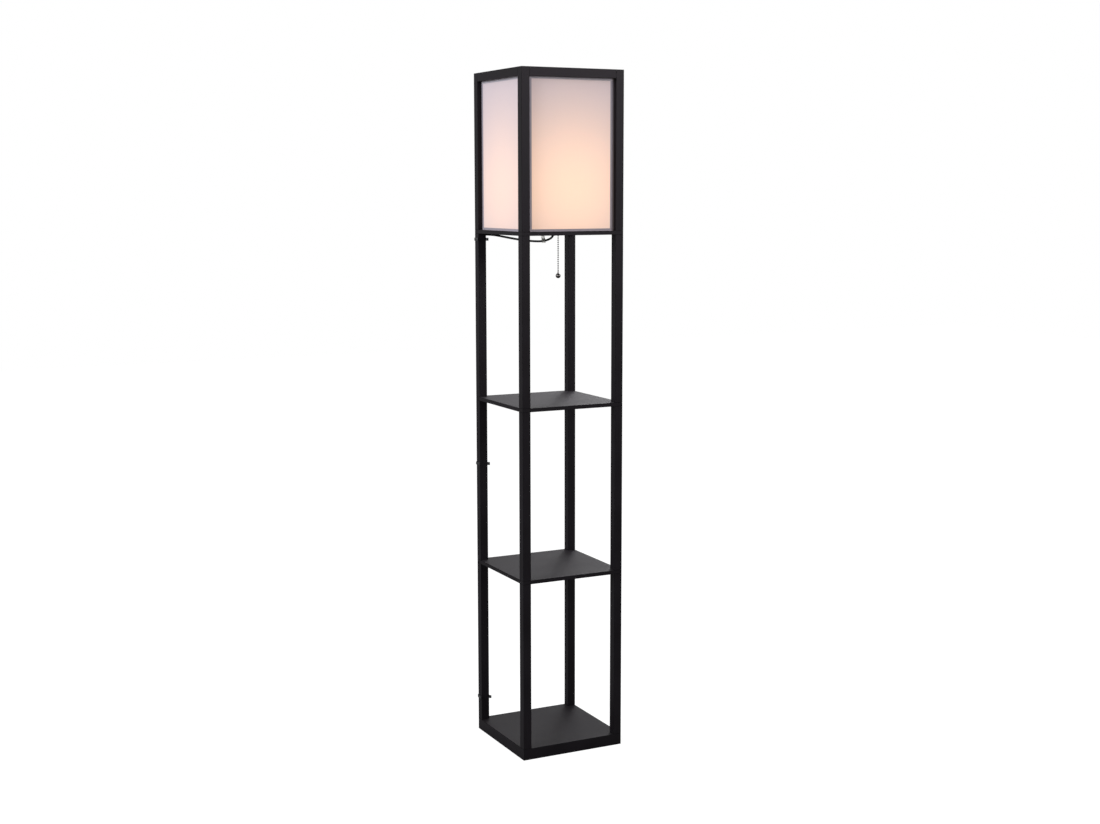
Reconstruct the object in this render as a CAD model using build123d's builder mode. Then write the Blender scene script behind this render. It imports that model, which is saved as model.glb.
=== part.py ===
from build123d import *
import math
import os

# A square shelf floor lamp: sixteen short posts, a base and three boards bolted up in storeys, with a
# fabric lamp box on top. Millimetres, +Z up. The origin is on the floor under the middle of the lamp,
# and -Y is its wide front in the usual view.

# The wooden frame
side = 260.0
height = 1600.0
post_side = 20.0
board_thickness = 9.0
base_height = 27.0
lower_shelf_top = 431.5
upper_shelf_top = 834.0
lamp_board_top = 1234.5
rail_height = 20.0
edge_chamfer = 0.8

# Round sections are drawn with flats: few on the hidden rods, more on what shows
rod_sides = 8
cord_sides = 8
small_sides = 12
round_sides = 24
hex_sides = 6

# What joins the posts: studs through the boards, bolts up through the base, dowels in the top rails
stud_diameter = 6.0
stud_grip = 18.0
bore_spare = 2.0
stud_clearance = 0.5
bolt_head_diameter = 10.0
bolt_head_height = 6.0
bolt_head_clearance = 1.0
bolt_head_sink = 2.0
bolt_key_width = 5.0
bolt_key_depth = 3.0
dowel_diameter = 5.0
dowel_grip = 12.0
dowel_bore_spare = 1.0
front_dowel_drop = 5.0
side_dowel_drop = 12.0

# The shade: four fabric panels, each glued on a thin hem frame and held in grooves
panel_setback = 10.0
fabric_thickness = 1.0
hem_thickness = 2.0
groove_clearance = 0.2
groove_depth = 4.0
board_groove_depth = 2.0
panel_end_gap = 0.5
hem_side_shown = 9.0
hem_end_shown = 5.5

# The lamp holder stands right of the middle of the lamp board, with its chain towards the front
socket_x = 14.0
socket_y = 0.0
nipple_diameter = 10.0
nipple_bore = 7.6
nipple_clearance = 0.5
nipple_below = 3.5
nipple_in_cap = 5.0
nut_height = 3.0
nut_width = 14.0
bushing_wall = 0.7
bushing_flange = 0.8
bushing_length = 9.0
cap_boss_radius = 8.0
cap_floor = 5.0
cap_cone_height = 9.5
cap_height = 21.0
cap_wall = 1.0
cap_fit = 0.1
shell_radius = 17.1
shell_wall = 0.8
shell_top = 52.0
shell_lip = 1.0
shell_notch_width = 7.4
shell_notch_top = 29.5
block_clearance = 0.5
block_bottom = 9.0
block_top = 31.0
screw_shell_wall = 0.4
screw_shell_floor = 0.5
screw_shell_hole = 5.5
screw_shell_height = 20.0
screw_shell_clearance = 0.25
contact_width = 5.0
contact_thickness = 0.5
contact_rise = 2.6
contact_length = 7.0

# The chain guide, the chain and its ball
chain_reach = 25.0
guide_height = 26.0
guide_bend = 6.0
guide_drop = 12.0
guide_bore = 2.3
guide_wall = 0.8
guide_sides = 8
bead_diameter = 3.6
bead_pitch = 5.0
bead_sides = 8
bead_chamfer = 0.9
wire_diameter = 1.2
chain_travel = 10.0
chain_spare = 1.0
link_gap = 0.3
upper_bead_count = 7
lower_bead_count = 16
ball_diameter = 11.8
ball_neck_radius = 1.9
ball_neck_height = 5.0
ball_band_count = 3
eyelet_bore = 6.0
eyelet_wall = 1.6
eyelet_flange_width = 1.6
eyelet_flange = 1.2
eyelet_clearance = 0.2

# The bulb, measured from the tip of its centre contact
bulb_gap = 0.3
bulb_length = 104.0
bulb_radius = 29.5
bulb_neck_radius = 14.2
bulb_wall = 1.0
collar_radius = 13.1
collar_bottom = 5.0
collar_top = 24.0
collar_wall = 0.6
tip_radius = 4.5
tip_height = 1.0
insulator_radius = 9.0
insulator_rim = 1.0
globe_band = 6.0
crown_angle = 80.0
crown_band_count = 4
neck_band_count = 4
neck_taper_power = 1.7

# The cord, its clips and its plug
cord_diameter = 5.0
post_clip_wall = 1.6
post_clip_height = 7.0
post_clip_nib = 0.6
post_clip_lip = 4.0
post_clip_heights = (1211.9, 670.0, 84.0)
clip_fit = 0.3
clip_ring_wall = 1.4
clip_mouth = 3.6
# The cord's heading under the lamp board is in degrees from +Y towards -X
cord_heading_angle = 44.43
board_clip_along = 24.0
board_clip_z = 1208.9
board_clip_width = 8.0
board_clip_bore = 3.6
board_clip_ring_wall = 1.0
board_clip_strap = 1.6
board_clip_lean = 11.5
board_clip_tab = 13.0
strap_foot_angle = 50.0
clip_screw_diameter = 3.0
clip_screw_grip = 7.0
clip_screw_head_diameter = 6.5
clip_screw_head_height = 1.8
clip_screw_clearance = 0.4
hank_run = 100.0
hank_left = -74.0
hank_lane = 6.2
hank_layer = 5.5
hank_draw = 12.0
hank_fold = 15.0
tie_thickness = 0.6
tie_width = 10.0
tie_clearance = 0.4
floor_gap = 0.1
plug_x = 73.5
plug_y = 144.0
plug_width = 24.0
plug_thickness = 12.0
plug_chamfer = 2.0
plug_length = 40.0
plug_shoulder = 20.0
relief_length = 14.0
relief_radius = 4.0
blade_spacing = 12.7
blade_width = 6.3
blade_thickness = 1.5
blade_length = 16.5
blade_root = 8.0

os.makedirs("parts", exist_ok=True)


def save(piece, name):
    piece.part.label = name
    export_step(piece.part, f"parts/{name}.step")


def disc(radius, sides, mode=Mode.ADD):
    """A round section drawn with flats, one of them towards each of X and Y, that lie at the radius."""
    RegularPolygon(radius, sides, major_radius=False, rotation=180 / sides, mode=mode)


def taper_end(builder, outline, end):
    """Cut one end of a prism back along an outline of (radius, height) points, one chamfer after another."""
    end_height = outline[-1][1]
    reached = outline[0][0]
    for (near_radius, near_height), (far_radius, far_height) in zip(outline, outline[1:]):
        slope = (far_radius - near_radius) / (far_height - near_height)
        next_reached = near_radius + slope * (end_height - near_height)
        along = math.hypot(reached - near_radius, end_height - near_height)
        flat = builder.faces().sort_by(Axis.Z)[end]
        chamfer(flat.edges(), length=reached - next_reached, length2=along, reference=flat)
        reached = next_reached


# The wooden frame, from the base up

post_middle = (side - post_side) / 2
inner_face = side / 2 - post_side
stud_bore_depth = stud_grip + bore_spare
stud_hole_radius = (stud_diameter + stud_clearance) / 2
lower_shelf_bottom = lower_shelf_top - board_thickness
upper_shelf_bottom = upper_shelf_top - board_thickness
lamp_board_bottom = lamp_board_top - board_thickness
rail_bottom = height - rail_height
rail_length = 2 * inner_face
groove_width = fabric_thickness + hem_thickness + groove_clearance
groove_middle = side / 2 - panel_setback - groove_width / 2
groove_top = rail_bottom + groove_depth

corners = {"front_left": (-1, -1), "front_right": (1, -1), "back_left": (-1, 1), "back_right": (1, 1)}
walls = {"front": 0, "right": 90, "back": 180, "left": 270}


def wall_plan(wall, z):
    """A level plane at height z, turned so that its own -Y points out through the wall."""
    return Plane.XY.offset(z).rotated((0, 0, walls[wall]))


def wall_out(wall):
    """The outward direction of a wall."""
    turn = math.radians(walls[wall])
    return Vector(math.sin(turn), -math.cos(turn), 0)


def wall_face(wall, distance, z):
    """An upright plane facing out of the wall, at a distance from the lamp's middle."""
    turn = math.radians(walls[wall])
    out = wall_out(wall)
    along = Vector(math.cos(turn), math.sin(turn), 0)
    return Plane(origin=out * distance + Vector(0, 0, z), x_dir=along, z_dir=out)


def eased_square(width):
    """A square plan with its corners taken off."""
    reach = width / 2
    eased = reach - edge_chamfer
    half = [(reach, -eased), (reach, eased), (eased, reach), (-eased, reach)]
    Polygon(*half, *[(-x, -y) for x, y in half])


def storey_post(name, corner, bottom, top):
    """A short post between two boards, bored at both ends for the studs."""
    x, y = corners[corner][0] * post_middle, corners[corner][1] * post_middle
    with BuildPart() as post:
        with BuildSketch(Plane.XY.offset(bottom)):
            with Locations((x, y)):
                eased_square(post_side)
        extrude(amount=top - bottom)
        with BuildSketch(Plane.XY.offset(bottom), Plane.XY.offset(top - stud_bore_depth)):
            with Locations((x, y)):
                disc(stud_diameter / 2, rod_sides)
        extrude(amount=stud_bore_depth, mode=Mode.SUBTRACT)
    save(post, name)


def lamp_post(name, corner):
    """A post of the lamp box: a stud bore below, a groove for each of two panels, two dowel holes above."""
    x_way, y_way = corners[corner]
    x, y = x_way * post_middle, y_way * post_middle
    groove_place = inner_face + groove_depth / 2
    with BuildPart() as post:
        with BuildSketch(Plane.XY.offset(lamp_board_top)):
            with Locations((x, y)):
                eased_square(post_side)
        extrude(amount=height - lamp_board_top)
        with BuildSketch(Plane.XY.offset(lamp_board_top)):
            with Locations((x, y)):
                disc(stud_diameter / 2, rod_sides)
        extrude(amount=stud_bore_depth, mode=Mode.SUBTRACT)
        with BuildSketch(Plane.XY.offset(lamp_board_top)):
            with Locations((x_way * groove_place, y_way * groove_middle)):
                Rectangle(groove_depth, groove_width)
            with Locations((x_way * groove_middle, y_way * groove_place)):
                Rectangle(groove_width, groove_depth)
        extrude(amount=groove_top - lamp_board_top, mode=Mode.SUBTRACT)
        front_dowel = Vector(x_way * inner_face, y, height - front_dowel_drop)
        with BuildSketch(Plane(origin=front_dowel, z_dir=(x_way, 0, 0))):
            disc(dowel_diameter / 2, rod_sides)
        extrude(amount=dowel_grip + dowel_bore_spare, mode=Mode.SUBTRACT)
        side_dowel = Vector(x, y_way * inner_face, height - side_dowel_drop)
        with BuildSketch(Plane(origin=side_dowel, z_dir=(0, y_way, 0))):
            disc(dowel_diameter / 2, rod_sides)
        extrude(amount=dowel_grip + dowel_bore_spare, mode=Mode.SUBTRACT)
    save(post, name)


for corner in corners:
    storey_post(f"post_lower_{corner}", corner, base_height, lower_shelf_bottom)
    storey_post(f"post_middle_{corner}", corner, lower_shelf_top, upper_shelf_bottom)
    storey_post(f"post_upper_{corner}", corner, upper_shelf_top, lamp_board_bottom)
    lamp_post(f"post_lamp_{corner}", corner)

# The base is one thick block. Its bolts come up from below, their heads sunk in counterbores.
bolt_seat = bolt_head_sink + bolt_head_height
with BuildPart() as base_block:
    with BuildSketch():
        eased_square(side)
    extrude(amount=base_height)
    with BuildSketch():
        with GridLocations(2 * post_middle, 2 * post_middle, 2, 2):
            disc(stud_hole_radius, rod_sides)
    extrude(amount=base_height, mode=Mode.SUBTRACT)
    with BuildSketch():
        with GridLocations(2 * post_middle, 2 * post_middle, 2, 2):
            disc((bolt_head_diameter + bolt_head_clearance) / 2, rod_sides)
    extrude(amount=bolt_seat, mode=Mode.SUBTRACT)
save(base_block, "base_block")

with BuildPart() as base_bolts:
    with BuildSketch(Plane.XY.offset(bolt_head_sink)):
        with GridLocations(2 * post_middle, 2 * post_middle, 2, 2):
            disc(bolt_head_diameter / 2, rod_sides)
    extrude(amount=bolt_head_height)
    with BuildSketch(Plane.XY.offset(bolt_seat)):
        with GridLocations(2 * post_middle, 2 * post_middle, 2, 2):
            disc(stud_diameter / 2, rod_sides)
    extrude(amount=base_height - bolt_seat + stud_grip)
    with BuildSketch(Plane.XY.offset(bolt_head_sink)):
        with GridLocations(2 * post_middle, 2 * post_middle, 2, 2):
            RegularPolygon(bolt_key_width / 2, hex_sides, major_radius=False)
    extrude(amount=bolt_key_depth, mode=Mode.SUBTRACT)
save(base_bolts, "base_bolts")


def shelf(name, top):
    """A board that reaches the outer faces of the posts, with a stud hole in each corner."""
    with BuildPart() as board:
        with BuildSketch(Plane.XY.offset(top - board_thickness)):
            eased_square(side)
            with GridLocations(2 * post_middle, 2 * post_middle, 2, 2):
                disc(stud_hole_radius, rod_sides, Mode.SUBTRACT)
        extrude(amount=board_thickness)
    save(board, name)


def studs(name, board_top):
    """The four studs that pass through a board into the posts above and below it."""
    with BuildPart() as rods:
        with BuildSketch(Plane.XY.offset(board_top - board_thickness - stud_grip)):
            with GridLocations(2 * post_middle, 2 * post_middle, 2, 2):
                disc(stud_diameter / 2, rod_sides)
        extrude(amount=board_thickness + 2 * stud_grip)
    save(rods, name)


shelf("shelf_lower", lower_shelf_top)
shelf("shelf_upper", upper_shelf_top)
studs("studs_lower_shelf", lower_shelf_top)
studs("studs_upper_shelf", upper_shelf_top)
studs("studs_lamp_board", lamp_board_top)

# The lamp board also takes the panels' lower edges, the holder's nipple, the chain and a cord clip.
chain_x = socket_x
chain_y = socket_y - chain_reach
eyelet_radius = eyelet_bore / 2 + eyelet_wall
cord_heading = math.radians(cord_heading_angle)
cord_way = Vector(-math.sin(cord_heading), math.cos(cord_heading), 0)
clip_way = Vector(-cord_way.Y, cord_way.X, 0)
clip_centre = Vector(socket_x, socket_y, board_clip_z) + cord_way * board_clip_along
clip_screw_place = clip_centre + clip_way * (board_clip_lean + board_clip_tab / 2)
with BuildPart() as lamp_board:
    with BuildSketch(Plane.XY.offset(lamp_board_bottom)):
        eased_square(side)
        with GridLocations(2 * post_middle, 2 * post_middle, 2, 2):
            disc(stud_hole_radius, rod_sides, Mode.SUBTRACT)
        with Locations((socket_x, socket_y)):
            disc((nipple_diameter + nipple_clearance) / 2, small_sides, Mode.SUBTRACT)
        with Locations((chain_x, chain_y)):
            disc(eyelet_radius + eyelet_clearance / 2, small_sides, Mode.SUBTRACT)
    extrude(amount=board_thickness)
    for wall in walls:
        with BuildSketch(wall_plan(wall, lamp_board_top)):
            with Locations((0, -groove_middle)):
                Rectangle(2 * (inner_face + groove_depth), groove_width)
        extrude(amount=-board_groove_depth, mode=Mode.SUBTRACT)
    with BuildSketch(Plane.XY.offset(lamp_board_bottom)):
        with Locations((clip_screw_place.X, clip_screw_place.Y)):
            disc(clip_screw_diameter / 2, rod_sides)
    extrude(amount=clip_screw_grip, mode=Mode.SUBTRACT)
save(lamp_board, "lamp_board")


def top_rail(wall):
    """A rail between two post heads, grooved below for the panel and bored at its ends for dowels."""
    drop = front_dowel_drop if wall in ("front", "back") else side_dowel_drop
    with BuildPart() as rail:
        with BuildSketch(wall_face(wall, inner_face, rail_bottom + rail_height / 2)):
            Rectangle(rail_length, rail_height)
        extrude(amount=post_side)
        along = wall_face(wall, 0, 0).x_dir
        chamfer(rail.edges().filter_by(Axis((0, 0, 0), along)), edge_chamfer)
        with BuildSketch(wall_plan(wall, rail_bottom)):
            with Locations((0, -groove_middle)):
                Rectangle(rail_length, groove_width)
        extrude(amount=groove_depth, mode=Mode.SUBTRACT)
        for end in (-1, 1):
            place = wall_out(wall) * post_middle + along * (end * inner_face) + Vector(0, 0, height - drop)
            with BuildSketch(Plane(origin=place, x_dir=(0, 0, 1), z_dir=along * -end)):
                disc(dowel_diameter / 2, rod_sides)
            extrude(amount=dowel_grip + dowel_bore_spare, mode=Mode.SUBTRACT)
    save(rail, f"top_rail_{wall}")


for wall in walls:
    top_rail(wall)

with BuildPart() as top_rail_dowels:
    for wall in walls:
        drop = front_dowel_drop if wall in ("front", "back") else side_dowel_drop
        along = wall_face(wall, 0, 0).x_dir
        for end in (-1, 1):
            place = wall_out(wall) * post_middle + along * (end * inner_face) + Vector(0, 0, height - drop)
            with BuildSketch(Plane(origin=place - along * dowel_grip, x_dir=(0, 0, 1), z_dir=along)):
                disc(dowel_diameter / 2, rod_sides)
            extrude(amount=2 * dowel_grip)
save(top_rail_dowels, "top_rail_dowels")

# The shade's four walls, each with its hem frame behind it

fabric_face = side / 2 - panel_setback
panel_width = 2 * (inner_face + groove_depth - panel_end_gap)
panel_bottom = lamp_board_top - board_groove_depth
panel_top = groove_top - panel_end_gap
panel_height = panel_top - panel_bottom
panel_middle = (panel_top + panel_bottom) / 2
window_width = 2 * (inner_face - hem_side_shown)
window_bottom = lamp_board_top + hem_end_shown
window_top = rail_bottom - hem_end_shown


def shade_panel(wall):
    """A stiffened sheet of fabric with its edges in the grooves."""
    with BuildPart() as panel:
        with BuildSketch(wall_face(wall, fabric_face, panel_middle)):
            Rectangle(panel_width, panel_height)
        extrude(amount=-fabric_thickness)
    save(panel, f"shade_panel_{wall}")


for wall in walls:
    shade_panel(wall)

with BuildPart() as shade_hems:
    for wall in walls:
        with BuildSketch(wall_face(wall, fabric_face - fabric_thickness, panel_middle)):
            Rectangle(panel_width, panel_height)
            with Locations((0, (window_top + window_bottom) / 2 - panel_middle)):
                Rectangle(window_width, window_top - window_bottom, mode=Mode.SUBTRACT)
        extrude(amount=-hem_thickness)
save(shade_hems, "shade_hems")

# The lamp holder, from the nipple in the board up to the screw shell

cap_bottom = lamp_board_top + nut_height
nipple_bottom = lamp_board_bottom - nipple_below


def holder_plane(z):
    """A level plane centred on the holder's axis."""
    return Plane((socket_x, socket_y, z))


def front_plane(y, z):
    """An upright plane on the holder's line that faces the lamp's front."""
    return Plane(origin=(socket_x, y, z), x_dir=(1, 0, 0), z_dir=(0, -1, 0))


def chain_plane(z):
    """A level plane centred on the hanging chain."""
    return Plane((chain_x, chain_y, z))


with BuildPart() as nipple:
    with BuildSketch(holder_plane(nipple_bottom)):
        disc(nipple_diameter / 2, small_sides)
        disc(nipple_bore / 2, small_sides, Mode.SUBTRACT)
    extrude(amount=cap_bottom + nipple_in_cap - nipple_bottom)
save(nipple, "nipple")

with BuildPart() as nipple_nuts:
    with BuildSketch(holder_plane(lamp_board_bottom - nut_height), holder_plane(lamp_board_top)):
        disc(nut_width / 2, hex_sides)
        disc(nipple_diameter / 2, small_sides, Mode.SUBTRACT)
    extrude(amount=nut_height)
save(nipple_nuts, "nipple_nuts")

bushing_bore = nipple_bore / 2 - bushing_wall
with BuildPart() as cord_bushing:
    with BuildSketch(holder_plane(nipple_bottom)):
        disc(nipple_bore / 2, small_sides)
        disc(bushing_bore, small_sides, Mode.SUBTRACT)
    extrude(amount=bushing_length)
    with BuildSketch(holder_plane(nipple_bottom)):
        disc(nipple_diameter / 2, small_sides)
        disc(bushing_bore, small_sides, Mode.SUBTRACT)
    extrude(amount=-bushing_flange)
save(cord_bushing, "cord_bushing")

# The cap is a cup with a cone floor, screwed on the nipple. The shell stands in it and the block sits on it.
cap_inner = shell_radius + cap_fit
cone_top = cap_floor + cap_cone_height
cone_slope = (cap_inner - cap_boss_radius + cap_wall) / cap_cone_height
with BuildPart() as cap_hollow:
    with BuildSketch(holder_plane(cap_bottom + cap_floor)):
        disc(cap_inner, round_sides)
    extrude(amount=cap_height - cap_floor)
    cone_end = [(cap_inner, cap_bottom + cone_top), (cap_boss_radius - cap_wall, cap_bottom + cap_floor)]
    taper_end(cap_hollow, cone_end, 0)
with BuildPart() as socket_cap:
    with BuildSketch(holder_plane(cap_bottom)):
        disc(cap_inner + cap_wall, round_sides)
    extrude(amount=cap_height)
    cup_end = [(cap_inner + cap_wall, cap_bottom + cone_top - cap_wall), (cap_boss_radius, cap_bottom)]
    taper_end(socket_cap, cup_end, 0)
    add(cap_hollow.part, mode=Mode.SUBTRACT)
    with BuildSketch(holder_plane(cap_bottom)):
        disc(nipple_diameter / 2, small_sides)
    extrude(amount=cap_floor, mode=Mode.SUBTRACT)
save(socket_cap, "socket_cap")

with BuildPart() as socket_shell:
    with BuildSketch(holder_plane(cap_bottom + cone_top)):
        disc(shell_radius, round_sides)
    extrude(amount=shell_top - cone_top)
    with BuildSketch(holder_plane(cap_bottom + shell_top)):
        disc(shell_radius + shell_lip, round_sides)
    extrude(amount=-shell_lip)
    with BuildSketch(holder_plane(cap_bottom + cone_top)):
        disc(shell_radius - shell_wall, round_sides)
    extrude(amount=shell_top - cone_top, mode=Mode.SUBTRACT)
    with BuildSketch(front_plane(socket_y, cap_bottom)):
        with Locations((0, (cone_top + shell_notch_top) / 2)):
            Rectangle(shell_notch_width, shell_notch_top - cone_top)
    extrude(amount=shell_radius + shell_wall, mode=Mode.SUBTRACT)
save(socket_shell, "socket_shell")

# The switch block carries the contact, the screw shell and the chain guide.
block_radius = shell_radius - shell_wall - block_clearance
block_foot = cap_boss_radius - cap_wall + (block_bottom - cap_floor) * cone_slope
block_cone_top = block_bottom + (block_radius - block_foot) / cone_slope
with BuildPart() as switch_block:
    with BuildSketch(holder_plane(cap_bottom + block_bottom)):
        disc(block_radius, round_sides)
    extrude(amount=block_top - block_bottom)
    cone_end = [(block_radius, cap_bottom + block_cone_top), (block_foot, cap_bottom + block_bottom)]
    taper_end(switch_block, cone_end, 0)
save(switch_block, "switch_block")

screw_shell_bore = collar_radius + screw_shell_clearance
with BuildPart() as screw_shell:
    with BuildSketch(holder_plane(cap_bottom + block_top)):
        disc(screw_shell_bore + screw_shell_wall, round_sides)
    extrude(amount=screw_shell_height)
    with BuildSketch(holder_plane(cap_bottom + block_top + screw_shell_floor)):
        disc(screw_shell_bore, round_sides)
    extrude(amount=screw_shell_height - screw_shell_floor, mode=Mode.SUBTRACT)
    with BuildSketch(holder_plane(cap_bottom + block_top)):
        disc(screw_shell_hole, small_sides)
    extrude(amount=screw_shell_floor, mode=Mode.SUBTRACT)
save(screw_shell, "socket_screw_shell")

with BuildPart() as centre_contact:
    with BuildSketch(front_plane(socket_y, cap_bottom + block_top)):
        with BuildLine():
            Polyline(
                (-contact_length / 2, 0),
                (-contact_length / 4, 0),
                (contact_length / 2, contact_rise - contact_thickness),
                (contact_length / 2, contact_rise),
                (contact_length / 4, contact_rise),
                (-contact_length / 2, contact_thickness),
                close=True,
            )
        make_face()
    extrude(amount=contact_width / 2, both=True)
save(centre_contact, "socket_contact")

# The guide leaves the block towards the front and turns down, so that the chain hangs from its mouth.
guide_z = cap_bottom + guide_height
guide_mouth = guide_z - guide_bend - guide_drop
with BuildPart() as chain_guide:
    with BuildLine():
        FilletPolyline(
            (chain_x, socket_y - block_radius, guide_z),
            (chain_x, chain_y, guide_z),
            (chain_x, chain_y, guide_mouth),
            radius=guide_bend,
        )
    with BuildSketch(front_plane(socket_y - block_radius, guide_z)):
        disc(guide_bore + guide_wall, guide_sides)
        disc(guide_bore, guide_sides, Mode.SUBTRACT)
    sweep()
save(chain_guide, "chain_guide")

with BuildPart() as board_eyelet:
    with BuildSketch(chain_plane(lamp_board_bottom - eyelet_flange)):
        disc(eyelet_radius, small_sides)
    extrude(amount=board_thickness + 2 * eyelet_flange)
    with BuildSketch(chain_plane(lamp_board_bottom - eyelet_flange), chain_plane(lamp_board_top)):
        disc(eyelet_radius + eyelet_flange_width, small_sides)
    extrude(amount=eyelet_flange)
    with BuildSketch(chain_plane(lamp_board_bottom - eyelet_flange)):
        disc(eyelet_bore / 2, small_sides)
    extrude(amount=board_thickness + 2 * eyelet_flange, mode=Mode.SUBTRACT)
save(board_eyelet, "board_eyelet")

# The pull chain hangs from the guide's mouth through the eyelet in the board

bead_radius = bead_diameter / 2
chain_top = guide_mouth + chain_travel + chain_spare
pivot_z = chain_top - upper_bead_count * bead_pitch
ball_top = pivot_z - (lower_bead_count + 0.5) * bead_pitch


def bead_string(name, top_bead, count, wire_top, wire_bottom):
    """Beads below one another on a wire: each one a short prism with both ends chamfered."""
    with BuildPart() as string:
        with BuildSketch(*[chain_plane(top_bead - i * bead_pitch - bead_radius) for i in range(count)]):
            disc(bead_radius, bead_sides)
        extrude(amount=bead_diameter)
        chamfer(string.edges().filter_by(Axis.Z, reverse=True), bead_chamfer)
        with BuildSketch(chain_plane(wire_bottom)):
            Rectangle(wire_diameter, wire_diameter)
        extrude(amount=wire_top - wire_bottom)
    save(string, name)


bead_string("chain_upper", chain_top, upper_bead_count, chain_top, pivot_z + bead_radius + link_gap)
bead_string("chain_link", pivot_z, 1, pivot_z + bead_chamfer, pivot_z - bead_chamfer)
bead_string("chain_lower", pivot_z - bead_pitch, lower_bead_count, pivot_z - bead_radius - link_gap, ball_top)

ball_radius = ball_diameter / 2
ball_middle = ball_top - ball_neck_height - math.sqrt(ball_radius**2 - ball_neck_radius**2)
ball_step = math.pi / (2 * ball_band_count + 1)
ball_turns = [(i + 0.5) * ball_step for i in range(ball_band_count)]
ball_half = [(ball_radius * math.cos(turn), ball_radius * math.sin(turn)) for turn in ball_turns]
ball_flat = ball_half[-1][1]
with BuildPart() as chain_ball:
    with BuildSketch(chain_plane(ball_middle - ball_flat)):
        disc(ball_half[0][0], small_sides)
    extrude(amount=2 * ball_flat)
    taper_end(chain_ball, [(radius, ball_middle + rise) for radius, rise in ball_half], -1)
    taper_end(chain_ball, [(radius, ball_middle - rise) for radius, rise in ball_half], 0)
    with BuildSketch(chain_plane(ball_middle)):
        disc(ball_neck_radius, bead_sides)
    extrude(amount=ball_top - ball_middle)
save(chain_ball, "chain_ball")

# The bulb rests with its tip just above the holder's contact

bulb_tip = cap_bottom + block_top + contact_rise + bulb_gap
insulator_top = bulb_tip + collar_bottom
with BuildPart() as bulb_contact:
    with BuildSketch(holder_plane(bulb_tip + tip_height)):
        disc(insulator_radius, small_sides)
    extrude(amount=collar_bottom - tip_height)
    insulator_end = [(insulator_radius, insulator_top - insulator_rim), (tip_radius, bulb_tip + tip_height)]
    taper_end(bulb_contact, insulator_end, 0)
    with BuildSketch(holder_plane(bulb_tip)):
        disc(tip_radius, small_sides)
    extrude(amount=tip_height)
save(bulb_contact, "bulb_contact")

collar_taper = collar_radius - insulator_radius
with BuildPart() as collar_hollow:
    with BuildSketch(holder_plane(insulator_top + collar_wall)):
        disc(collar_radius - collar_wall, round_sides)
    extrude(amount=collar_top - collar_bottom - collar_wall)
    chamfer(collar_hollow.faces().sort_by(Axis.Z)[0].edges(), collar_taper)
with BuildPart() as bulb_collar:
    with BuildSketch(holder_plane(insulator_top)):
        disc(collar_radius, round_sides)
    extrude(amount=collar_top - collar_bottom)
    chamfer(bulb_collar.faces().sort_by(Axis.Z)[0].edges(), collar_taper)
    add(collar_hollow.part, mode=Mode.SUBTRACT)
    with BuildSketch(holder_plane(insulator_top)):
        disc(insulator_radius - 2 * collar_wall, small_sides)
    extrude(amount=collar_wall, mode=Mode.SUBTRACT)
save(bulb_collar, "bulb_collar")


def globe_outlines(shrink):
    """The globe's outline from its widest band up to the crown and down to the neck, as (radius, height)."""
    band_top = bulb_tip + bulb_length - bulb_radius
    band_bottom = band_top - globe_band
    neck_end = bulb_tip + collar_top
    end_turn = math.radians(crown_angle)
    crown = []
    for i in range(crown_band_count + 1):
        turn = end_turn * i / crown_band_count
        rise = (bulb_radius - shrink) * math.sin(turn) / math.sin(end_turn)
        crown.append((bulb_radius * math.cos(turn) - shrink, band_top + rise))
    neck = []
    for i in range(neck_band_count + 1):
        share = i / neck_band_count
        radius = bulb_neck_radius + (bulb_radius - bulb_neck_radius) * (1 - share**neck_taper_power)
        neck.append((radius - shrink, band_bottom + (neck_end - band_bottom) * share))
    return crown, neck


def globe_solid(shrink):
    """The globe's round body as a prism that is cut back towards its crown and its neck."""
    crown, neck = globe_outlines(shrink)
    with BuildPart() as body:
        with BuildSketch(holder_plane(neck[-1][1])):
            disc(crown[0][0], round_sides)
        extrude(amount=crown[-1][1] - neck[-1][1])
        taper_end(body, crown, -1)
        taper_end(body, neck, 0)
    return body


globe_outside = globe_solid(0)
globe_inside = globe_solid(bulb_wall)
with BuildPart() as bulb_globe:
    add(globe_outside.part)
    add(globe_inside.part, mode=Mode.SUBTRACT)
save(bulb_globe, "bulb_globe")

# The cord, the clips that hold it and the hank of its spare length

cord_radius = cord_diameter / 2
clip_bore = cord_radius + clip_fit
half_post = post_side / 2
clip_ring_y = half_post + post_clip_wall + clip_bore
cord_x = -post_middle
cord_y = post_middle + clip_ring_y
lip_x = half_post - post_clip_nib + post_clip_lip
lip_y = -half_post - post_clip_nib - post_clip_lip
lip_slant = post_clip_wall / math.sqrt(2)
clip_outer = half_post + post_clip_wall
clip_feet = [Plane((-post_middle, post_middle, z - post_clip_height / 2)) for z in post_clip_heights]
with BuildPart() as post_clips:
    with BuildSketch(*clip_feet):
        with BuildLine():
            Polyline(
                (0, half_post),
                (half_post, half_post),
                (half_post, -half_post),
                (half_post - post_clip_nib, -half_post - post_clip_nib),
                (lip_x, lip_y),
                (lip_x + lip_slant, lip_y + lip_slant),
                (clip_outer, lip_y + lip_slant + lip_x + lip_slant - clip_outer),
                (clip_outer, clip_outer),
                (0, clip_outer),
                close=True,
            )
        make_face()
        mirror(about=Plane.YZ)
        with Locations((0, clip_ring_y)):
            disc(clip_bore + clip_ring_wall, small_sides)
            disc(clip_bore, small_sides, Mode.SUBTRACT)
        with Locations((0, clip_ring_y + clip_bore)):
            Rectangle(clip_mouth, 2 * clip_bore, mode=Mode.SUBTRACT)
        Rectangle(post_side, post_side, mode=Mode.SUBTRACT)
    extrude(amount=post_clip_height)
save(post_clips, "post_cord_clips")

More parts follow.
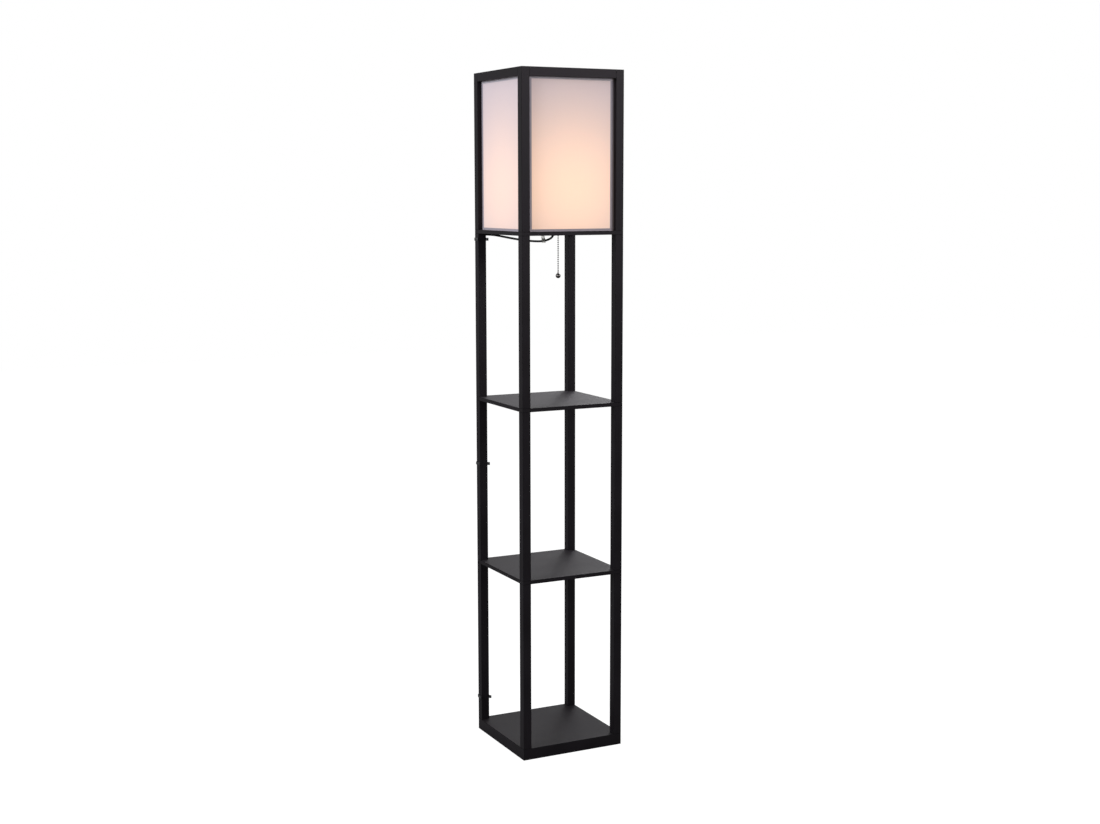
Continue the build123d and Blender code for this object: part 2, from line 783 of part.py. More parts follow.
# A pale nylon clip holds the cord up at the lowest point of its run under the lamp board.
tab_top = lamp_board_bottom - board_clip_z
ring_outer = board_clip_bore + board_clip_ring_wall
strap_foot = Vector(ring_outer, 0).rotate(Axis.Z, strap_foot_angle)
clip_end = clip_centre - cord_way * board_clip_width / 2
with BuildPart() as board_cord_clip:
    with BuildSketch(Plane(origin=clip_end, x_dir=clip_way, z_dir=cord_way)):
        with BuildLine():
            Polyline(
                (strap_foot.X, strap_foot.Y),
                (board_clip_lean, tab_top - board_clip_strap),
                (board_clip_lean + board_clip_tab, tab_top - board_clip_strap),
                (board_clip_lean + board_clip_tab, tab_top),
                (board_clip_lean - board_clip_strap / 2, tab_top),
                (0, ring_outer),
                (0, board_clip_bore),
                close=True,
            )
        make_face()
        disc(ring_outer, small_sides)
        disc(board_clip_bore, small_sides, Mode.SUBTRACT)
    extrude(amount=board_clip_width)
    with BuildSketch(Plane((clip_screw_place.X, clip_screw_place.Y, lamp_board_bottom))):
        disc((clip_screw_diameter + clip_screw_clearance) / 2, rod_sides)
    extrude(amount=-board_clip_strap, mode=Mode.SUBTRACT)
save(board_cord_clip, "board_cord_clip")

screw_head_top = lamp_board_bottom - board_clip_strap
with BuildPart() as board_clip_screw:
    with BuildSketch(Plane((clip_screw_place.X, clip_screw_place.Y, screw_head_top))):
        disc(clip_screw_diameter / 2, rod_sides)
    extrude(amount=board_clip_strap + clip_screw_grip)
    with BuildSketch(Plane((clip_screw_place.X, clip_screw_place.Y, screw_head_top))):
        disc(clip_screw_head_diameter / 2, small_sides)
    extrude(amount=-clip_screw_head_height)
save(board_clip_screw, "board_clip_screw")

floor_z = cord_radius + tie_thickness + floor_gap
upper_z = floor_z + hank_layer
hank_right = hank_left + hank_run


def cord_tube(name, points):
    """A tube along straight runs joined by arcs, each arc as large as its two runs allow."""
    corners_at = [Vector(*point) for point in points]
    radii = []
    for before, corner_at, after in zip(corners_at, corners_at[1:], corners_at[2:]):
        turn = (corner_at - before).get_angle(after - corner_at)
        shorter = min((corner_at - before).length, (after - corner_at).length)
        radii.append(0.45 * shorter / math.tan(math.radians(turn) / 2))
    print(name, "radii", [round(radius, 1) for radius in radii])
    with BuildPart() as tube:
        with BuildLine() as path:
            FilletPolyline(*corners_at, radius=radii)
        with BuildSketch(Plane(origin=corners_at[0], z_dir=corners_at[1] - corners_at[0])) as section:
            disc(cord_radius, cord_sides)
        sweep()
    length = sum(edge.length for edge in path.edges())
    ratio = tube.part.volume / (section.sketch.area * length)
    print(name, "length", round(length, 1), "volume over section x length", round(ratio, 4))
    save(tube, name)


# From the bushing the cord drops, runs under the board to the back left post, turns round its edge and
# goes straight down behind it through the three clips to the floor.
cord_tube(
    "cord_run",
    [
        (socket_x, socket_y, 1227.0),
        (socket_x, socket_y, 1219.4),
        (4.2, 10.0, 1210.5),
        (-11.2, 25.7, 1207.0),
        (-38.5, 53.5, 1209.7),
        (-68.6, 84.2, 1216.5),
        (-88.0, 108.0, 1221.8),
        (-104.2, 134.8, 1222.7),
        (cord_x, cord_y, 1222.4),
        (cord_x, cord_y, floor_z),
        (hank_left, cord_y, floor_z),
    ],
)

# The spare length lies on the floor behind the base, folded into a hank of two layers and tied at its waist.
near_inner = hank_fold - hank_lane / 4
near_outer = near_inner + hank_lane
far_lane = near_inner + hank_lane / 2
hank_middle = cord_y + near_outer
hank_waist = (hank_left + hank_right) / 2


def hank_stations():
    """Where the hank's cord passes its runs' ends and waists and its folds' crowns, and its way there."""
    runs = [
        (-near_outer, floor_z, floor_z),
        (far_lane, floor_z, floor_z),
        (-near_inner, floor_z, upper_z),
        (far_lane, upper_z, upper_z),
        (-near_outer, upper_z, upper_z),
    ]
    stations = []
    for i, (lane, start_z, end_z) in enumerate(runs):
        way = 1 if i % 2 == 0 else -1
        inward = hank_draw if lane < 0 else -hank_draw
        start_x, end_x = (hank_left, hank_right) if way > 0 else (hank_right, hank_left)
        steepest = 1.5 * (end_z - start_z) / hank_run
        stations.append((Vector(start_x, hank_middle + lane, start_z), Vector(way, 0, 0)))
        waist = Vector(hank_waist, hank_middle + lane + inward, (start_z + end_z) / 2)
        stations.append((waist, Vector(way, 0, steepest)))
        stations.append((Vector(end_x, hank_middle + lane, end_z), Vector(way, 0, 0)))
        if i + 1 < len(runs):
            next_lane = runs[i + 1][0]
            turn_way = math.copysign(1, next_lane - lane)
            crown_x = end_x + way * abs(next_lane - lane) / 2
            crown = Vector(crown_x, hank_middle + (lane + next_lane) / 2, end_z)
            stations.append((crown, Vector(0, turn_way, 0)))
    return [(place, way.normalized()) for place, way in stations]


def biarc_joint(start, start_way, end, end_way):
    """Where two arcs that leave start and reach end along the given ways meet, and their way there."""
    across = end - start
    pull = across.dot(start_way + end_way)
    spread = 2 * (1 - start_way.dot(end_way))
    square = across.dot(across)
    reach = square / (pull + math.sqrt(pull * pull + spread * square))
    joint = (start + end + (start_way - end_way) * reach) * 0.5
    return joint, (end - end_way * reach - start - start_way * reach).normalized()


stations = hank_stations()
hank_end = stations[-1][0] + Vector(cord_diameter, 0, 0)
with BuildPart() as cord_hank:
    with BuildLine() as hank_path:
        for (start, start_way), (end, end_way) in zip(stations, stations[1:]):
            joint, joint_way = biarc_joint(start, start_way, end, end_way)
            TangentArc(start, joint, tangent=start_way)
            TangentArc(joint, end, tangent=joint_way)
        Line(stations[-1][0], hank_end)
    with BuildSketch(Plane(origin=stations[0][0], z_dir=stations[0][1])):
        disc(cord_radius, cord_sides)
    sweep()
save(cord_hank, "cord_hank")


def least_gap(path, spacing):
    """The least distance between stretches of a path that aren't neighbours, less the cord's diameter."""
    places = []
    for edge in path.edges():
        count = max(2, math.ceil(edge.length / spacing))
        places += [edge @ (i / count) for i in range(count)]
    apart = math.ceil(2 * math.pi * cord_diameter / spacing)
    least = min((p - q).length for i, p in enumerate(places) for q in places[i + apart :])
    return least - cord_diameter


hank_length = sum(edge.length for edge in hank_path.edges())
print("cord_hank length", round(hank_length, 1), "least gap to itself", round(least_gap(hank_path, 2.0), 2))

# A flat tie goes round the hank's waist.
tie_near = hank_middle - near_outer + hank_draw - cord_radius - tie_clearance
tie_far = hank_middle + far_lane - hank_draw + cord_radius + tie_clearance
tie_low = floor_z - cord_radius - floor_gap / 2
tie_high = upper_z + cord_radius + floor_gap
tie_centre = Vector(hank_waist, (tie_near + tie_far) / 2, (tie_low + tie_high) / 2)
with BuildPart() as hank_tie:
    with BuildSketch(Plane(origin=tie_centre, x_dir=(0, 1, 0), z_dir=(1, 0, 0))):
        Rectangle(tie_far - tie_near + 2 * tie_thickness, tie_high - tie_low + 2 * tie_thickness)
        Rectangle(tie_far - tie_near, tie_high - tie_low, mode=Mode.SUBTRACT)
    extrude(amount=tie_width / 2, both=True)
save(hank_tie, "hank_tie")

plug_z = plug_thickness / 2
cord_tube(
    "cord_tail",
    [
        (hank_end.X, cord_y, upper_z),
        (42.5, cord_y, upper_z),
        (61.5, plug_y, plug_z),
        (plug_x, plug_y, plug_z),
    ],
)

# The plug at the cord's far end

relief_root = plug_x + relief_length
shoulder_x = plug_x + plug_shoulder
plug_end = plug_x + plug_length
with BuildPart() as plug_body:
    with BuildSketch(Plane((0, plug_y, 0))):
        with BuildLine():
            Polyline(
                (relief_root, -relief_radius),
                (shoulder_x, -plug_width / 2),
                (plug_end, -plug_width / 2),
                (plug_end, plug_width / 2),
                (shoulder_x, plug_width / 2),
                (relief_root, relief_radius),
                close=True,
            )
        make_face()
    extrude(amount=plug_thickness)
    chamfer(plug_body.edges().filter_by(Axis.Z, reverse=True), plug_chamfer)
    with BuildSketch(Plane(origin=(plug_x, plug_y, plug_z), z_dir=(1, 0, 0))):
        disc(relief_radius, cord_sides)
    extrude(amount=relief_length + plug_chamfer)
    with BuildSketch(Plane(origin=(plug_end, plug_y, plug_z), x_dir=(0, 1, 0), z_dir=(1, 0, 0))):
        with GridLocations(blade_spacing, 0, 2, 1):
            Rectangle(blade_thickness, blade_width)
    extrude(amount=-blade_root, mode=Mode.SUBTRACT)
save(plug_body, "plug_body")

with BuildPart() as plug_blades:
    with BuildSketch(Plane(origin=(plug_end - blade_root, plug_y, plug_z), x_dir=(0, 1, 0), z_dir=(1, 0, 0))):
        with GridLocations(blade_spacing, 0, 2, 1):
            Rectangle(blade_thickness, blade_width)
    extrude(amount=blade_root + blade_length)
save(plug_blades, "plug_blades")
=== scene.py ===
import bpy
import bmesh
import math
from mathutils import Matrix, Vector


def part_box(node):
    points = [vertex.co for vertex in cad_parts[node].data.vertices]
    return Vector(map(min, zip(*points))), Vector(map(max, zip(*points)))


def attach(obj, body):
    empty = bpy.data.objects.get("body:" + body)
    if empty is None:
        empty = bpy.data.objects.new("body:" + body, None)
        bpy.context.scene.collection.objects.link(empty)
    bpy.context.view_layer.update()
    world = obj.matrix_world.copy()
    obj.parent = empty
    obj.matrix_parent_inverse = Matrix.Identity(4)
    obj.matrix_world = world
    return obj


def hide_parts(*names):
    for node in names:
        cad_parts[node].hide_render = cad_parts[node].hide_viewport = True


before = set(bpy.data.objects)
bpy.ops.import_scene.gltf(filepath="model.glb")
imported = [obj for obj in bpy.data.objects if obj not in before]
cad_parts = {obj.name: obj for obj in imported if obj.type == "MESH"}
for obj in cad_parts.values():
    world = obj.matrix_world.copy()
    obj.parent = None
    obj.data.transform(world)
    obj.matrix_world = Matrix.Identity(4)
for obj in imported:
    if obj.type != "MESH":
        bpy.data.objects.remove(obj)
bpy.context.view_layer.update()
mm = 0.001
scene = bpy.context.scene
scene.view_settings.view_transform = "Standard"
print("frame loaded")


# Camera: stands a little below the lamp's top, left of its wide front
camera = {
    "place": (-1.690883, -3.389417, 1.327443),
    "yaw": 26.577,  # degrees from +Y towards +X
    "pitch": 7.885,  # degrees down
    "roll": -0.074,
    "lens": 52.41,
    "sensor": 36,
    "sees": 60,  # metres
}
yaw, pitch, roll = (math.radians(camera[key]) for key in ("yaw", "pitch", "roll"))
ahead = Vector((math.sin(yaw) * math.cos(pitch), math.cos(yaw) * math.cos(pitch), -math.sin(pitch)))
lensData = bpy.data.cameras.new("camera")
lensData.lens = camera["lens"]
lensData.sensor_width = camera["sensor"]
lensData.clip_end = camera["sees"]
eye = bpy.data.objects.new("camera", lensData)
eye.location = camera["place"]
eye.rotation_mode = "QUATERNION"
eye.rotation_quaternion = ahead.to_track_quat("-Z", "Y") @ Matrix.Rotation(roll, 3, "Z").to_quaternion()
scene.collection.objects.link(eye)
scene.camera = eye


def linear(hexText):
    parts = [int(hexText[i:i + 2], 16) / 255 for i in (1, 3, 5)]
    return [p / 12.92 if p <= 0.04045 else ((p + 0.055) / 1.055) ** 2.4 for p in parts] + [1.0]


def addNode(tree, kind, inputs=None, **settings):
    node = tree.nodes.new(kind)
    for key, value in settings.items():
        setattr(node, key, value)
    for key, value in (inputs or {}).items():
        if isinstance(value, bpy.types.NodeSocket):
            tree.links.new(value, node.inputs[key])
        else:
            node.inputs[key].default_value = linear(value) if isinstance(value, str) else value
    return node


def newMaterial(name, surface):
    material = bpy.data.materials.new(name)
    material.use_nodes = True
    tree = material.node_tree
    shader = tree.nodes["Principled BSDF"]
    for key, value in surface.items():
        shader.inputs[key].default_value = linear(value) if isinstance(value, str) else value
    place = addNode(tree, "ShaderNodeTexCoord").outputs["Object"]
    return material, tree, shader, place


# Satin black lacquer, sprayed and rubbed down on close-grained hardwood: a soft sheen, the grain just
# telegraphing through, and a coat that is greyer on the rubbed arrises. Lengths are in mm.
lacquer = {
    "face": "#0c090c", "faceLight": "#131014", "pore": "#141315", "arris": "#1c1b1d",
    "roughness": (0.48, 0.53), "specular": 0.2, "tint": "#fef5ff",
    "grainWidth": 0.9,  # pores are finer but would not show
    "grainLength": 26.0, "grainDepth": 0.06,
    "peel": 2.2, "peelDepth": 0.08,  # the ripples of the sprayed coat
    "clouds": 14.0, "wear": 60.0,  # patches in a metre
    "haze": 0.055, "hazeRoughness": 0.35,  # the boards' tops are rubbed matter and pale at a low angle
    "level": (0.8, 0.95),  # the haze comes in as a face turns upward
}


# The noise lies mostly between 0.3 and 0.7, so its ranges start and end about there
def lacquerMaterial(name, grainAxis, arris=False, haze=0.0):
    material, tree, shader, place = newMaterial(name, {
        "Specular IOR Level": 0.0 if arris else lacquer["specular"], "Specular Tint": lacquer["tint"],
        "Sheen Roughness": lacquer["hazeRoughness"], "Sheen Tint": lacquer["tint"],
    })
    if haze:
        normal = addNode(tree, "ShaderNodeNewGeometry").outputs["Normal"]
        upward = addNode(tree, "ShaderNodeSeparateXYZ", {0: normal}).outputs[2]
        low, high = lacquer["level"]
        level = addNode(tree, "ShaderNodeMapRange", {0: upward, 1: low, 2: high, 3: 0.0, 4: haze})
        tree.links.new(level.outputs[0], shader.inputs["Sheen Weight"])
    stretch = [1.0, 1.0, 1.0]
    stretch[grainAxis] = lacquer["grainWidth"] / lacquer["grainLength"]
    drawn = addNode(tree, "ShaderNodeMapping", {"Vector": place, "Scale": stretch}).outputs[0]
    # The last noise is the wear of an arris, or else the ripples of the coat
    last = (lacquer["wear"], 4.0) if arris else (0.5 / mm / lacquer["peel"], 1.0)
    grain, cloud, patches = (
        addNode(tree, "ShaderNodeTexNoise", {"Vector": where, "Scale": scale, "Detail": detail}).outputs[0]
        for where, scale, detail in (
            (drawn, 0.5 / mm / lacquer["grainWidth"], 3.0), (place, lacquer["clouds"], 3.0), (place, *last)))
    coats = [(cloud, 0.35, 0.65, 0.0, 1.0, "faceLight"), (grain, 0.62, 0.78, 0.0, 0.35, "pore")]
    if arris:
        coats.append((patches, 0.35, 0.7, 0.25, 0.9, "arris"))
    tone = lacquer["face"]
    for noise, low, high, least, most, colour in coats:
        share = addNode(tree, "ShaderNodeMapRange", {0: noise, 1: low, 2: high, 3: least, 4: most}).outputs[0]
        inputs = {0: share, 6: tone, 7: lacquer[colour]}
        tone = addNode(tree, "ShaderNodeMix", inputs, data_type="RGBA").outputs[2]
    tree.links.new(tone, shader.inputs["Base Color"])
    smooth, rough = lacquer["roughness"]
    gloss = addNode(tree, "ShaderNodeMapRange", {0: cloud, 1: 0.3, 2: 0.7, 3: smooth, 4: rough}).outputs[0]
    tree.links.new(gloss, shader.inputs["Roughness"])
    if not arris:
        pores = addNode(tree, "ShaderNodeBump", {
            "Height": grain, "Distance": lacquer["grainDepth"] * mm, "Strength": 0.5}).outputs[0]
        coat = addNode(tree, "ShaderNodeBump", {
            "Height": patches, "Distance": lacquer["peelDepth"] * mm, "Strength": 0.35, "Normal": pores})
        tree.links.new(coat.outputs[0], shader.inputs["Normal"])
    return material


uprightLacquer = lacquerMaterial("satinLacquerUpright", 2)
acrossLacquer = lacquerMaterial("satinLacquerAcross", 0)
deepLacquer = lacquerMaterial("satinLacquerDeep", 1)
boardLacquer = lacquerMaterial("rubbedLacquerBoard", 0, haze=lacquer["haze"])
arrisLacquer = lacquerMaterial("rubbedLacquerArris", 2, arris=True)
print("lacquer mixed")

# Shade cloth: a slubby plain weave of off-white linen and polyester, stiffened with resin. Its glow is
# painted light, emission in the cloth in place of the bulb's light through it: warmest beside the bulb, and
# held back where the hem boards lie behind its edges.
# Places are in metres, from the lamp's middle and from the floor.
shadeCloth = {
    # The gap tone darkens the weave's low places between the threads, a painted shade
    "cloth": "#c2bac5", "slub": "#d6cdca", "weaveGapPaintedShade": "#8f8586",
    "hem": "#938d97", "headHemPaintedLight": "#aca7af", "corner": "#56525a",  # the head is painted paler, painted light against the rail's shadow; the corner is painted shade
    "hemSide": (0.0998, 0.1008), "hemFoot": (1.2396, 1.2404), "hemHead": (1.5740, 1.5750),
    # the corner tone darkens the outermost few mm of each side hem, a painted shade beside the posts
    "cornerPaintedShade": (0.1045, 0.1085),
    "threadSpacing": 1.3,  # mm; the real 0.6 would not show
    "slubLength": 34.0,  # mm
    "slubStretch": 26,  # how many times longer than thick
    "weaveDepth": 0.12,  # mm
    "glow": (1.0, 0.545, 0.2, 1.0), "glowPeak": 0.72, "glowReach": 0.195,
    "lightPlace": (0.004, 0.0, 1.332), "lightGap": 0.12,  # from the light to the nearest cloth
    "leftWall": (-0.1185, -0.111), "leftShare": 0.74,  # the painted glow is dimmer on the left wall
    "inside": 1.3, "insideFrom": (0.1192, 0.1194),  # the painted glow is brighter on the wall's inner face, the bulb's side
    "hemShare": 0.04,  # of the glow, through the hem boards
}


def clothMaterial():
    material, tree, shader, place = newMaterial("linenShadeCloth", {
        "Roughness": 0.85, "Specular IOR Level": 0.2, "Sheen Weight": 0.15, "Sheen Roughness": 0.5,
        "Emission Color": shadeCloth["glow"],
    })
    x, y, z = addNode(tree, "ShaderNodeSeparateXYZ", {0: place}).outputs
    sides = [addNode(tree, "ShaderNodeMath", {0: way}, operation="ABSOLUTE").outputs[0] for way in (x, y)]
    inPlane, outward = (
        addNode(tree, "ShaderNodeMath", {0: sides[0], 1: sides[1]}, operation=operation).outputs[0]
        for operation in ("MINIMUM", "MAXIMUM"))
    along = addNode(tree, "ShaderNodeMath", {0: x, 1: y}, operation="ADD").outputs[0]

    # The threads are sine waves both ways, and each goes over one and under the next
    turns = 2 * math.pi / (shadeCloth["threadSpacing"] * mm)
    waves = []
    for way, often in ((z, turns / 2), (along, turns / 2), (z, turns), (along, turns)):
        angle = addNode(tree, "ShaderNodeMath", {0: way, 1: often}, operation="MULTIPLY").outputs[0]
        waves.append(addNode(tree, "ShaderNodeMath", {0: angle}, operation="SINE").outputs[0])
    over = addNode(tree, "ShaderNodeMath", {0: waves[0], 1: waves[1]}, operation="MULTIPLY").outputs[0]
    threads = addNode(tree, "ShaderNodeMath", {0: waves[2], 1: waves[3]}, operation="MAXIMUM").outputs[0]
    weave = addNode(tree, "ShaderNodeMath", {0: threads, 1: over}, operation="ADD").outputs[0]
    often, thin = 1 / (shadeCloth["slubLength"] * mm), shadeCloth["slubStretch"]
    thick = []
    for stretch in ((1, 1, thin), (thin, thin, 1)):  # weft and warp
        drawn = addNode(tree, "ShaderNodeMapping", {"Vector": place, "Scale": stretch}).outputs[0]
        thick.append(addNode(tree, "ShaderNodeTexNoise", {
            "Vector": drawn, "Scale": often, "Detail": 3.0}).outputs[0])
    slubs = addNode(tree, "ShaderNodeMath", {0: thick[0], 1: thick[1]}, operation="MAXIMUM").outputs[0]

    shares = []
    for value, (low, high), atLow, atHigh in (
        (inPlane, shadeCloth["hemSide"], 0.0, 1.0), (z, shadeCloth["hemFoot"], 1.0, 0.0),
        (z, shadeCloth["hemHead"], 0.0, 1.0), (inPlane, shadeCloth["cornerPaintedShade"], 0.0, 1.0),
        (slubs, (0.55, 0.8), 0.0, 0.3), (weave, (-1.0, 1.6), 0.18, 0.0),
    ):
        inputs = {0: value, 1: low, 2: high, 3: atLow, 4: atHigh}
        shares.append(addNode(tree, "ShaderNodeMapRange", inputs).outputs[0])
    side, foot, headHemPaintedLight, corner, slub, weaveGapPaintedShade = shares
    ends = addNode(tree, "ShaderNodeMath", {0: foot, 1: headHemPaintedLight}, operation="MAXIMUM").outputs[0]
    hem = addNode(tree, "ShaderNodeMath", {0: side, 1: ends}, operation="MAXIMUM").outputs[0]
    # The head tone is painted light over the rail's shadow; the corner and gap tones are painted shade
    tone = shadeCloth["cloth"]
    for share, colour in ((slub, "slub"), (weaveGapPaintedShade, "weaveGapPaintedShade"), (hem, "hem"), (headHemPaintedLight, "headHemPaintedLight"), (corner, "corner")):
        inputs = {0: share, 6: tone, 7: shadeCloth[colour]}
        tone = addNode(tree, "ShaderNodeMix", inputs, data_type="RGBA").outputs[2]
    tree.links.new(tone, shader.inputs["Base Color"])

    # The painted glow fades as exp(-(distance / reach)^2), and is then held back or let through
    reach, inputs = shadeCloth["glowReach"], {0: place, 1: shadeCloth["lightPlace"]}
    peak = shadeCloth["glowPeak"] * math.exp((shadeCloth["lightGap"] / reach) ** 2)
    shine = addNode(tree, "ShaderNodeVectorMath", inputs, operation="DISTANCE").outputs[1]
    for operation, value in (
        ("DIVIDE", reach), ("POWER", 2.0), ("MULTIPLY", -1.0), ("EXPONENT", 0.0), ("MULTIPLY", peak),
    ):
        shine = addNode(tree, "ShaderNodeMath", {0: shine, 1: value}, operation=operation).outputs[0]
    for value, (low, high), atLow, atHigh in (
        (x, shadeCloth["leftWall"], shadeCloth["leftShare"], 1.0),
        (hem, (0.0, 1.0), 1.0, shadeCloth["hemShare"]),
        (slubs, (0.45, 0.85), 1.03, 0.9),
        (weave, (-1.0, 1.6), 1.04, 0.97),
        (outward, shadeCloth["insideFrom"], shadeCloth["inside"], 1.0),
    ):
        inputs = {0: value, 1: low, 2: high, 3: atLow, 4: atHigh}
        factor = addNode(tree, "ShaderNodeMapRange", inputs).outputs[0]
        shine = addNode(tree, "ShaderNodeMath", {0: shine, 1: factor}, operation="MULTIPLY").outputs[0]
    tree.links.new(shine, shader.inputs["Emission Strength"])
    relief = addNode(tree, "ShaderNodeBump", {
        "Height": weave, "Distance": shadeCloth["weaveDepth"] * mm, "Strength": 0.5})
    tree.links.new(relief.outputs[0], shader.inputs["Normal"])
    return material


linenCloth = clothMaterial()
print("shade cloth mixed")


# Grain and clouds count in a metre, and the grain's depth is in mm
def mottled(name, surface, pale, dark, grain, clouds, depth, roughSpread=0.06):
    material, tree, shader, place = newMaterial(name, surface)
    cloud, fine = (
        addNode(tree, "ShaderNodeTexNoise", {"Vector": place, "Scale": scale, "Detail": detail}).outputs[0]
        for scale, detail in ((clouds, 3.0), (grain, 2.0)))
    share = addNode(tree, "ShaderNodeMapRange", {0: cloud, 1: 0.35, 2: 0.65}).outputs[0]
    tone = addNode(tree, "ShaderNodeMix", {0: share, 6: dark, 7: pale}, data_type="RGBA").outputs[2]
    smooth, rough = surface["Roughness"] - roughSpread, surface["Roughness"] + roughSpread
    gloss = addNode(tree, "ShaderNodeMapRange", {0: cloud, 1: 0.3, 2: 0.7, 3: smooth, 4: rough}).outputs[0]
    relief = addNode(tree, "ShaderNodeBump", {
        "Height": fine, "Distance": depth * mm, "Strength": 0.6}).outputs[0]
    for output, socket in ((tone, "Base Color"), (gloss, "Roughness"), (relief, "Normal")):
        tree.links.new(output, shader.inputs[socket])
    return material


# Grey bookbinder's board, cut in strips and glued behind the cloth
hemBoard = mottled("cutGreyBoard", {"Roughness": 0.9, "Specular IOR Level": 0.3},
                   "#a39b98", "#8e8684", grain=900, clouds=40, depth=0.1)
# Zinc-plated mild steel, turned and barrel plated: pale and slightly clouded
zincSteel = mottled("zincPlatedSteel", {"Metallic": 1.0, "Roughness": 0.34},
                    "#b9bcc0", "#9fa3a8", grain=1500, clouds=220, depth=0.03)
# Drawn brass, left bare and gone slightly brown
drawnBrass = mottled("drawnBrass", {"Metallic": 1.0, "Roughness": 0.3},
                     "#c9a45c", "#a5813f", grain=1500, clouds=180, depth=0.03)
# Black nickel plate over steel: bright, but darker than plain nickel, and hazy with handling
nickelPlate = mottled("blackNickelPlate", {"Metallic": 1.0, "Roughness": 0.15},
                      "#3c3a39", "#2c2a29", grain=1200, clouds=300, depth=0.02)
# A paler nickel plate on the pull ball, buffed to a mirror
ballPlate = mottled("buffedNickelPlate", {"Metallic": 1.0, "Roughness": 0.07},
                    "#6c6967", "#5b5856", grain=1200, clouds=300, depth=0.01, roughSpread=0.02)
# Phenolic, pressed in a polished mould: black and fairly glossy
pressedPhenolic = mottled("pressedPhenolic", {"Roughness": 0.3},
                          "#1b1a1a", "#131212", grain=1100, clouds=90, depth=0.04)
# Polypropylene with a fine moulded texture
mouldedBlack = mottled("mouldedPolypropylene", {"Roughness": 0.48},
                       "#1d1d1f", "#151517", grain=1300, clouds=120, depth=0.08)
# Natural nylon, moulded: clear enough to let the light through, and a little waxy
naturalNylon = mottled("mouldedNylon", {"Roughness": 0.22, "Transmission Weight": 0.95, "IOR": 1.53},
                       "#fbfaf7", "#f0efeb", grain=900, clouds=150, depth=0.04)
# Flexible vinyl, extruded: black with a greasy gloss
extrudedVinyl = mottled("extrudedVinyl", {"Roughness": 0.36},
                        "#161617", "#0f0f10", grain=700, clouds=60, depth=0.05)
# Moulded vinyl of the plug: the same, with a duller mould finish
mouldedVinyl = mottled("mouldedVinyl", {"Roughness": 0.5},
                       "#1a1a1b", "#121213", grain=1400, clouds=90, depth=0.09)
# Rolled aluminium of the bulb's collar
rolledAluminium = mottled("rolledAluminium", {"Metallic": 1.0, "Roughness": 0.28},
                          "#d0d2d4", "#b8babd", grain=1500, clouds=200, depth=0.02)
# Black glass of the bulb's insulator, pressed
pressedGlass = mottled("pressedBlackGlass", {"Roughness": 0.12},
                       "#141318", "#0b0b0e", grain=800, clouds=100, depth=0.03, roughSpread=0.03)
# Raw beech, turned: pale, with short darker flecks
rawBeech = mottled("rawBeech", {"Roughness": 0.7},
                   "#c8a578", "#b48f60", grain=500, clouds=160, depth=0.1)
# Woven hook-and-loop nylon: a dull fuzz of loops
loopNylon = mottled("hookAndLoopNylon", {"Roughness": 0.9, "Sheen Weight": 0.3},
                    "#232325", "#121214", grain=1800, clouds=700, depth=0.4)

# Soda glass, frosted inside with a white coat, and lit
bulbGlass = {
    "pale": "#f7f1e6", "dark": "#efe7da", "mottle": 90.0, "light": (1.0, 0.72, 0.42, 1.0),
    "strength": (2.3, 2.6), "neck": (1.296, 1.335), "neckShare": 0.35,  # the neck glows less
}


def bulbMaterial():
    material, tree, shader, place = newMaterial("frostedLitGlass", {
        "Roughness": 0.3, "Coat Weight": 0.4, "Emission Color": bulbGlass["light"],
    })
    mottle = addNode(tree, "ShaderNodeTexNoise", {
        "Vector": place, "Scale": bulbGlass["mottle"], "Detail": 3.0}).outputs[0]
    share = addNode(tree, "ShaderNodeMapRange", {0: mottle, 1: 0.3, 2: 0.7}).outputs[0]
    inputs = {0: share, 6: bulbGlass["dark"], 7: bulbGlass["pale"]}
    tone = addNode(tree, "ShaderNodeMix", inputs, data_type="RGBA").outputs[2]
    tree.links.new(tone, shader.inputs["Base Color"])
    height = addNode(tree, "ShaderNodeSeparateXYZ", {0: place}).outputs[2]
    (low, high), (least, most) = bulbGlass["neck"], bulbGlass["strength"]
    neck = {0: height, 1: low, 2: high, 3: bulbGlass["neckShare"], 4: 1.0}
    coat = {0: mottle, 1: 0.3, 2: 0.7, 3: least, 4: most}
    parts = [addNode(tree, "ShaderNodeMapRange", inputs).outputs[0] for inputs in (neck, coat)]
    glow = addNode(tree, "ShaderNodeMath", {0: parts[0], 1: parts[1]}, operation="MULTIPLY").outputs[0]
    tree.links.new(glow, shader.inputs["Emission Strength"])
    return material


litGlass = bulbMaterial()
print("materials mixed")


def newPiece(name, mesh, materials, body, nodes):
    piece = bpy.data.objects.new(name, mesh)
    scene.collection.objects.link(piece)
    for material in materials:
        mesh.materials.append(material)
    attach(piece, body)
    if nodes:
        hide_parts(*nodes)
    return piece


def smoothed(mesh, sharpFrom):
    mesh.shade_smooth()
    mesh.set_sharp_from_angle(angle=math.radians(sharpFrom))


def closedUp(mesh):
    # Welds the points that meet and turns the faces outward
    shape = bmesh.new()
    shape.from_mesh(mesh)
    bmesh.ops.remove_doubles(shape, verts=shape.verts, dist=1e-6)
    bmesh.ops.recalc_face_normals(shape, faces=shape.faces)
    shape.to_mesh(mesh)
    shape.free()


def meshOf(name, points, faces, smooth=True):
    mesh = bpy.data.meshes.new(name)
    mesh.from_pydata([Vector(p) * mm for p in points], [], faces)
    closedUp(mesh)
    if smooth:
        smoothed(mesh, 38)
    return mesh


def ringFaces(rings, steps, closed=True):
    # Faces between rings of equally many points, the last joined to the first where it is closed
    faces = []
    for k in range(rings if closed else rings - 1):
        a, b = k * steps, (k + 1) % rings * steps
        for s in range(steps):
            t = (s + 1) % steps
            faces.append((a + s, a + t, b + t, b + s))
    return faces


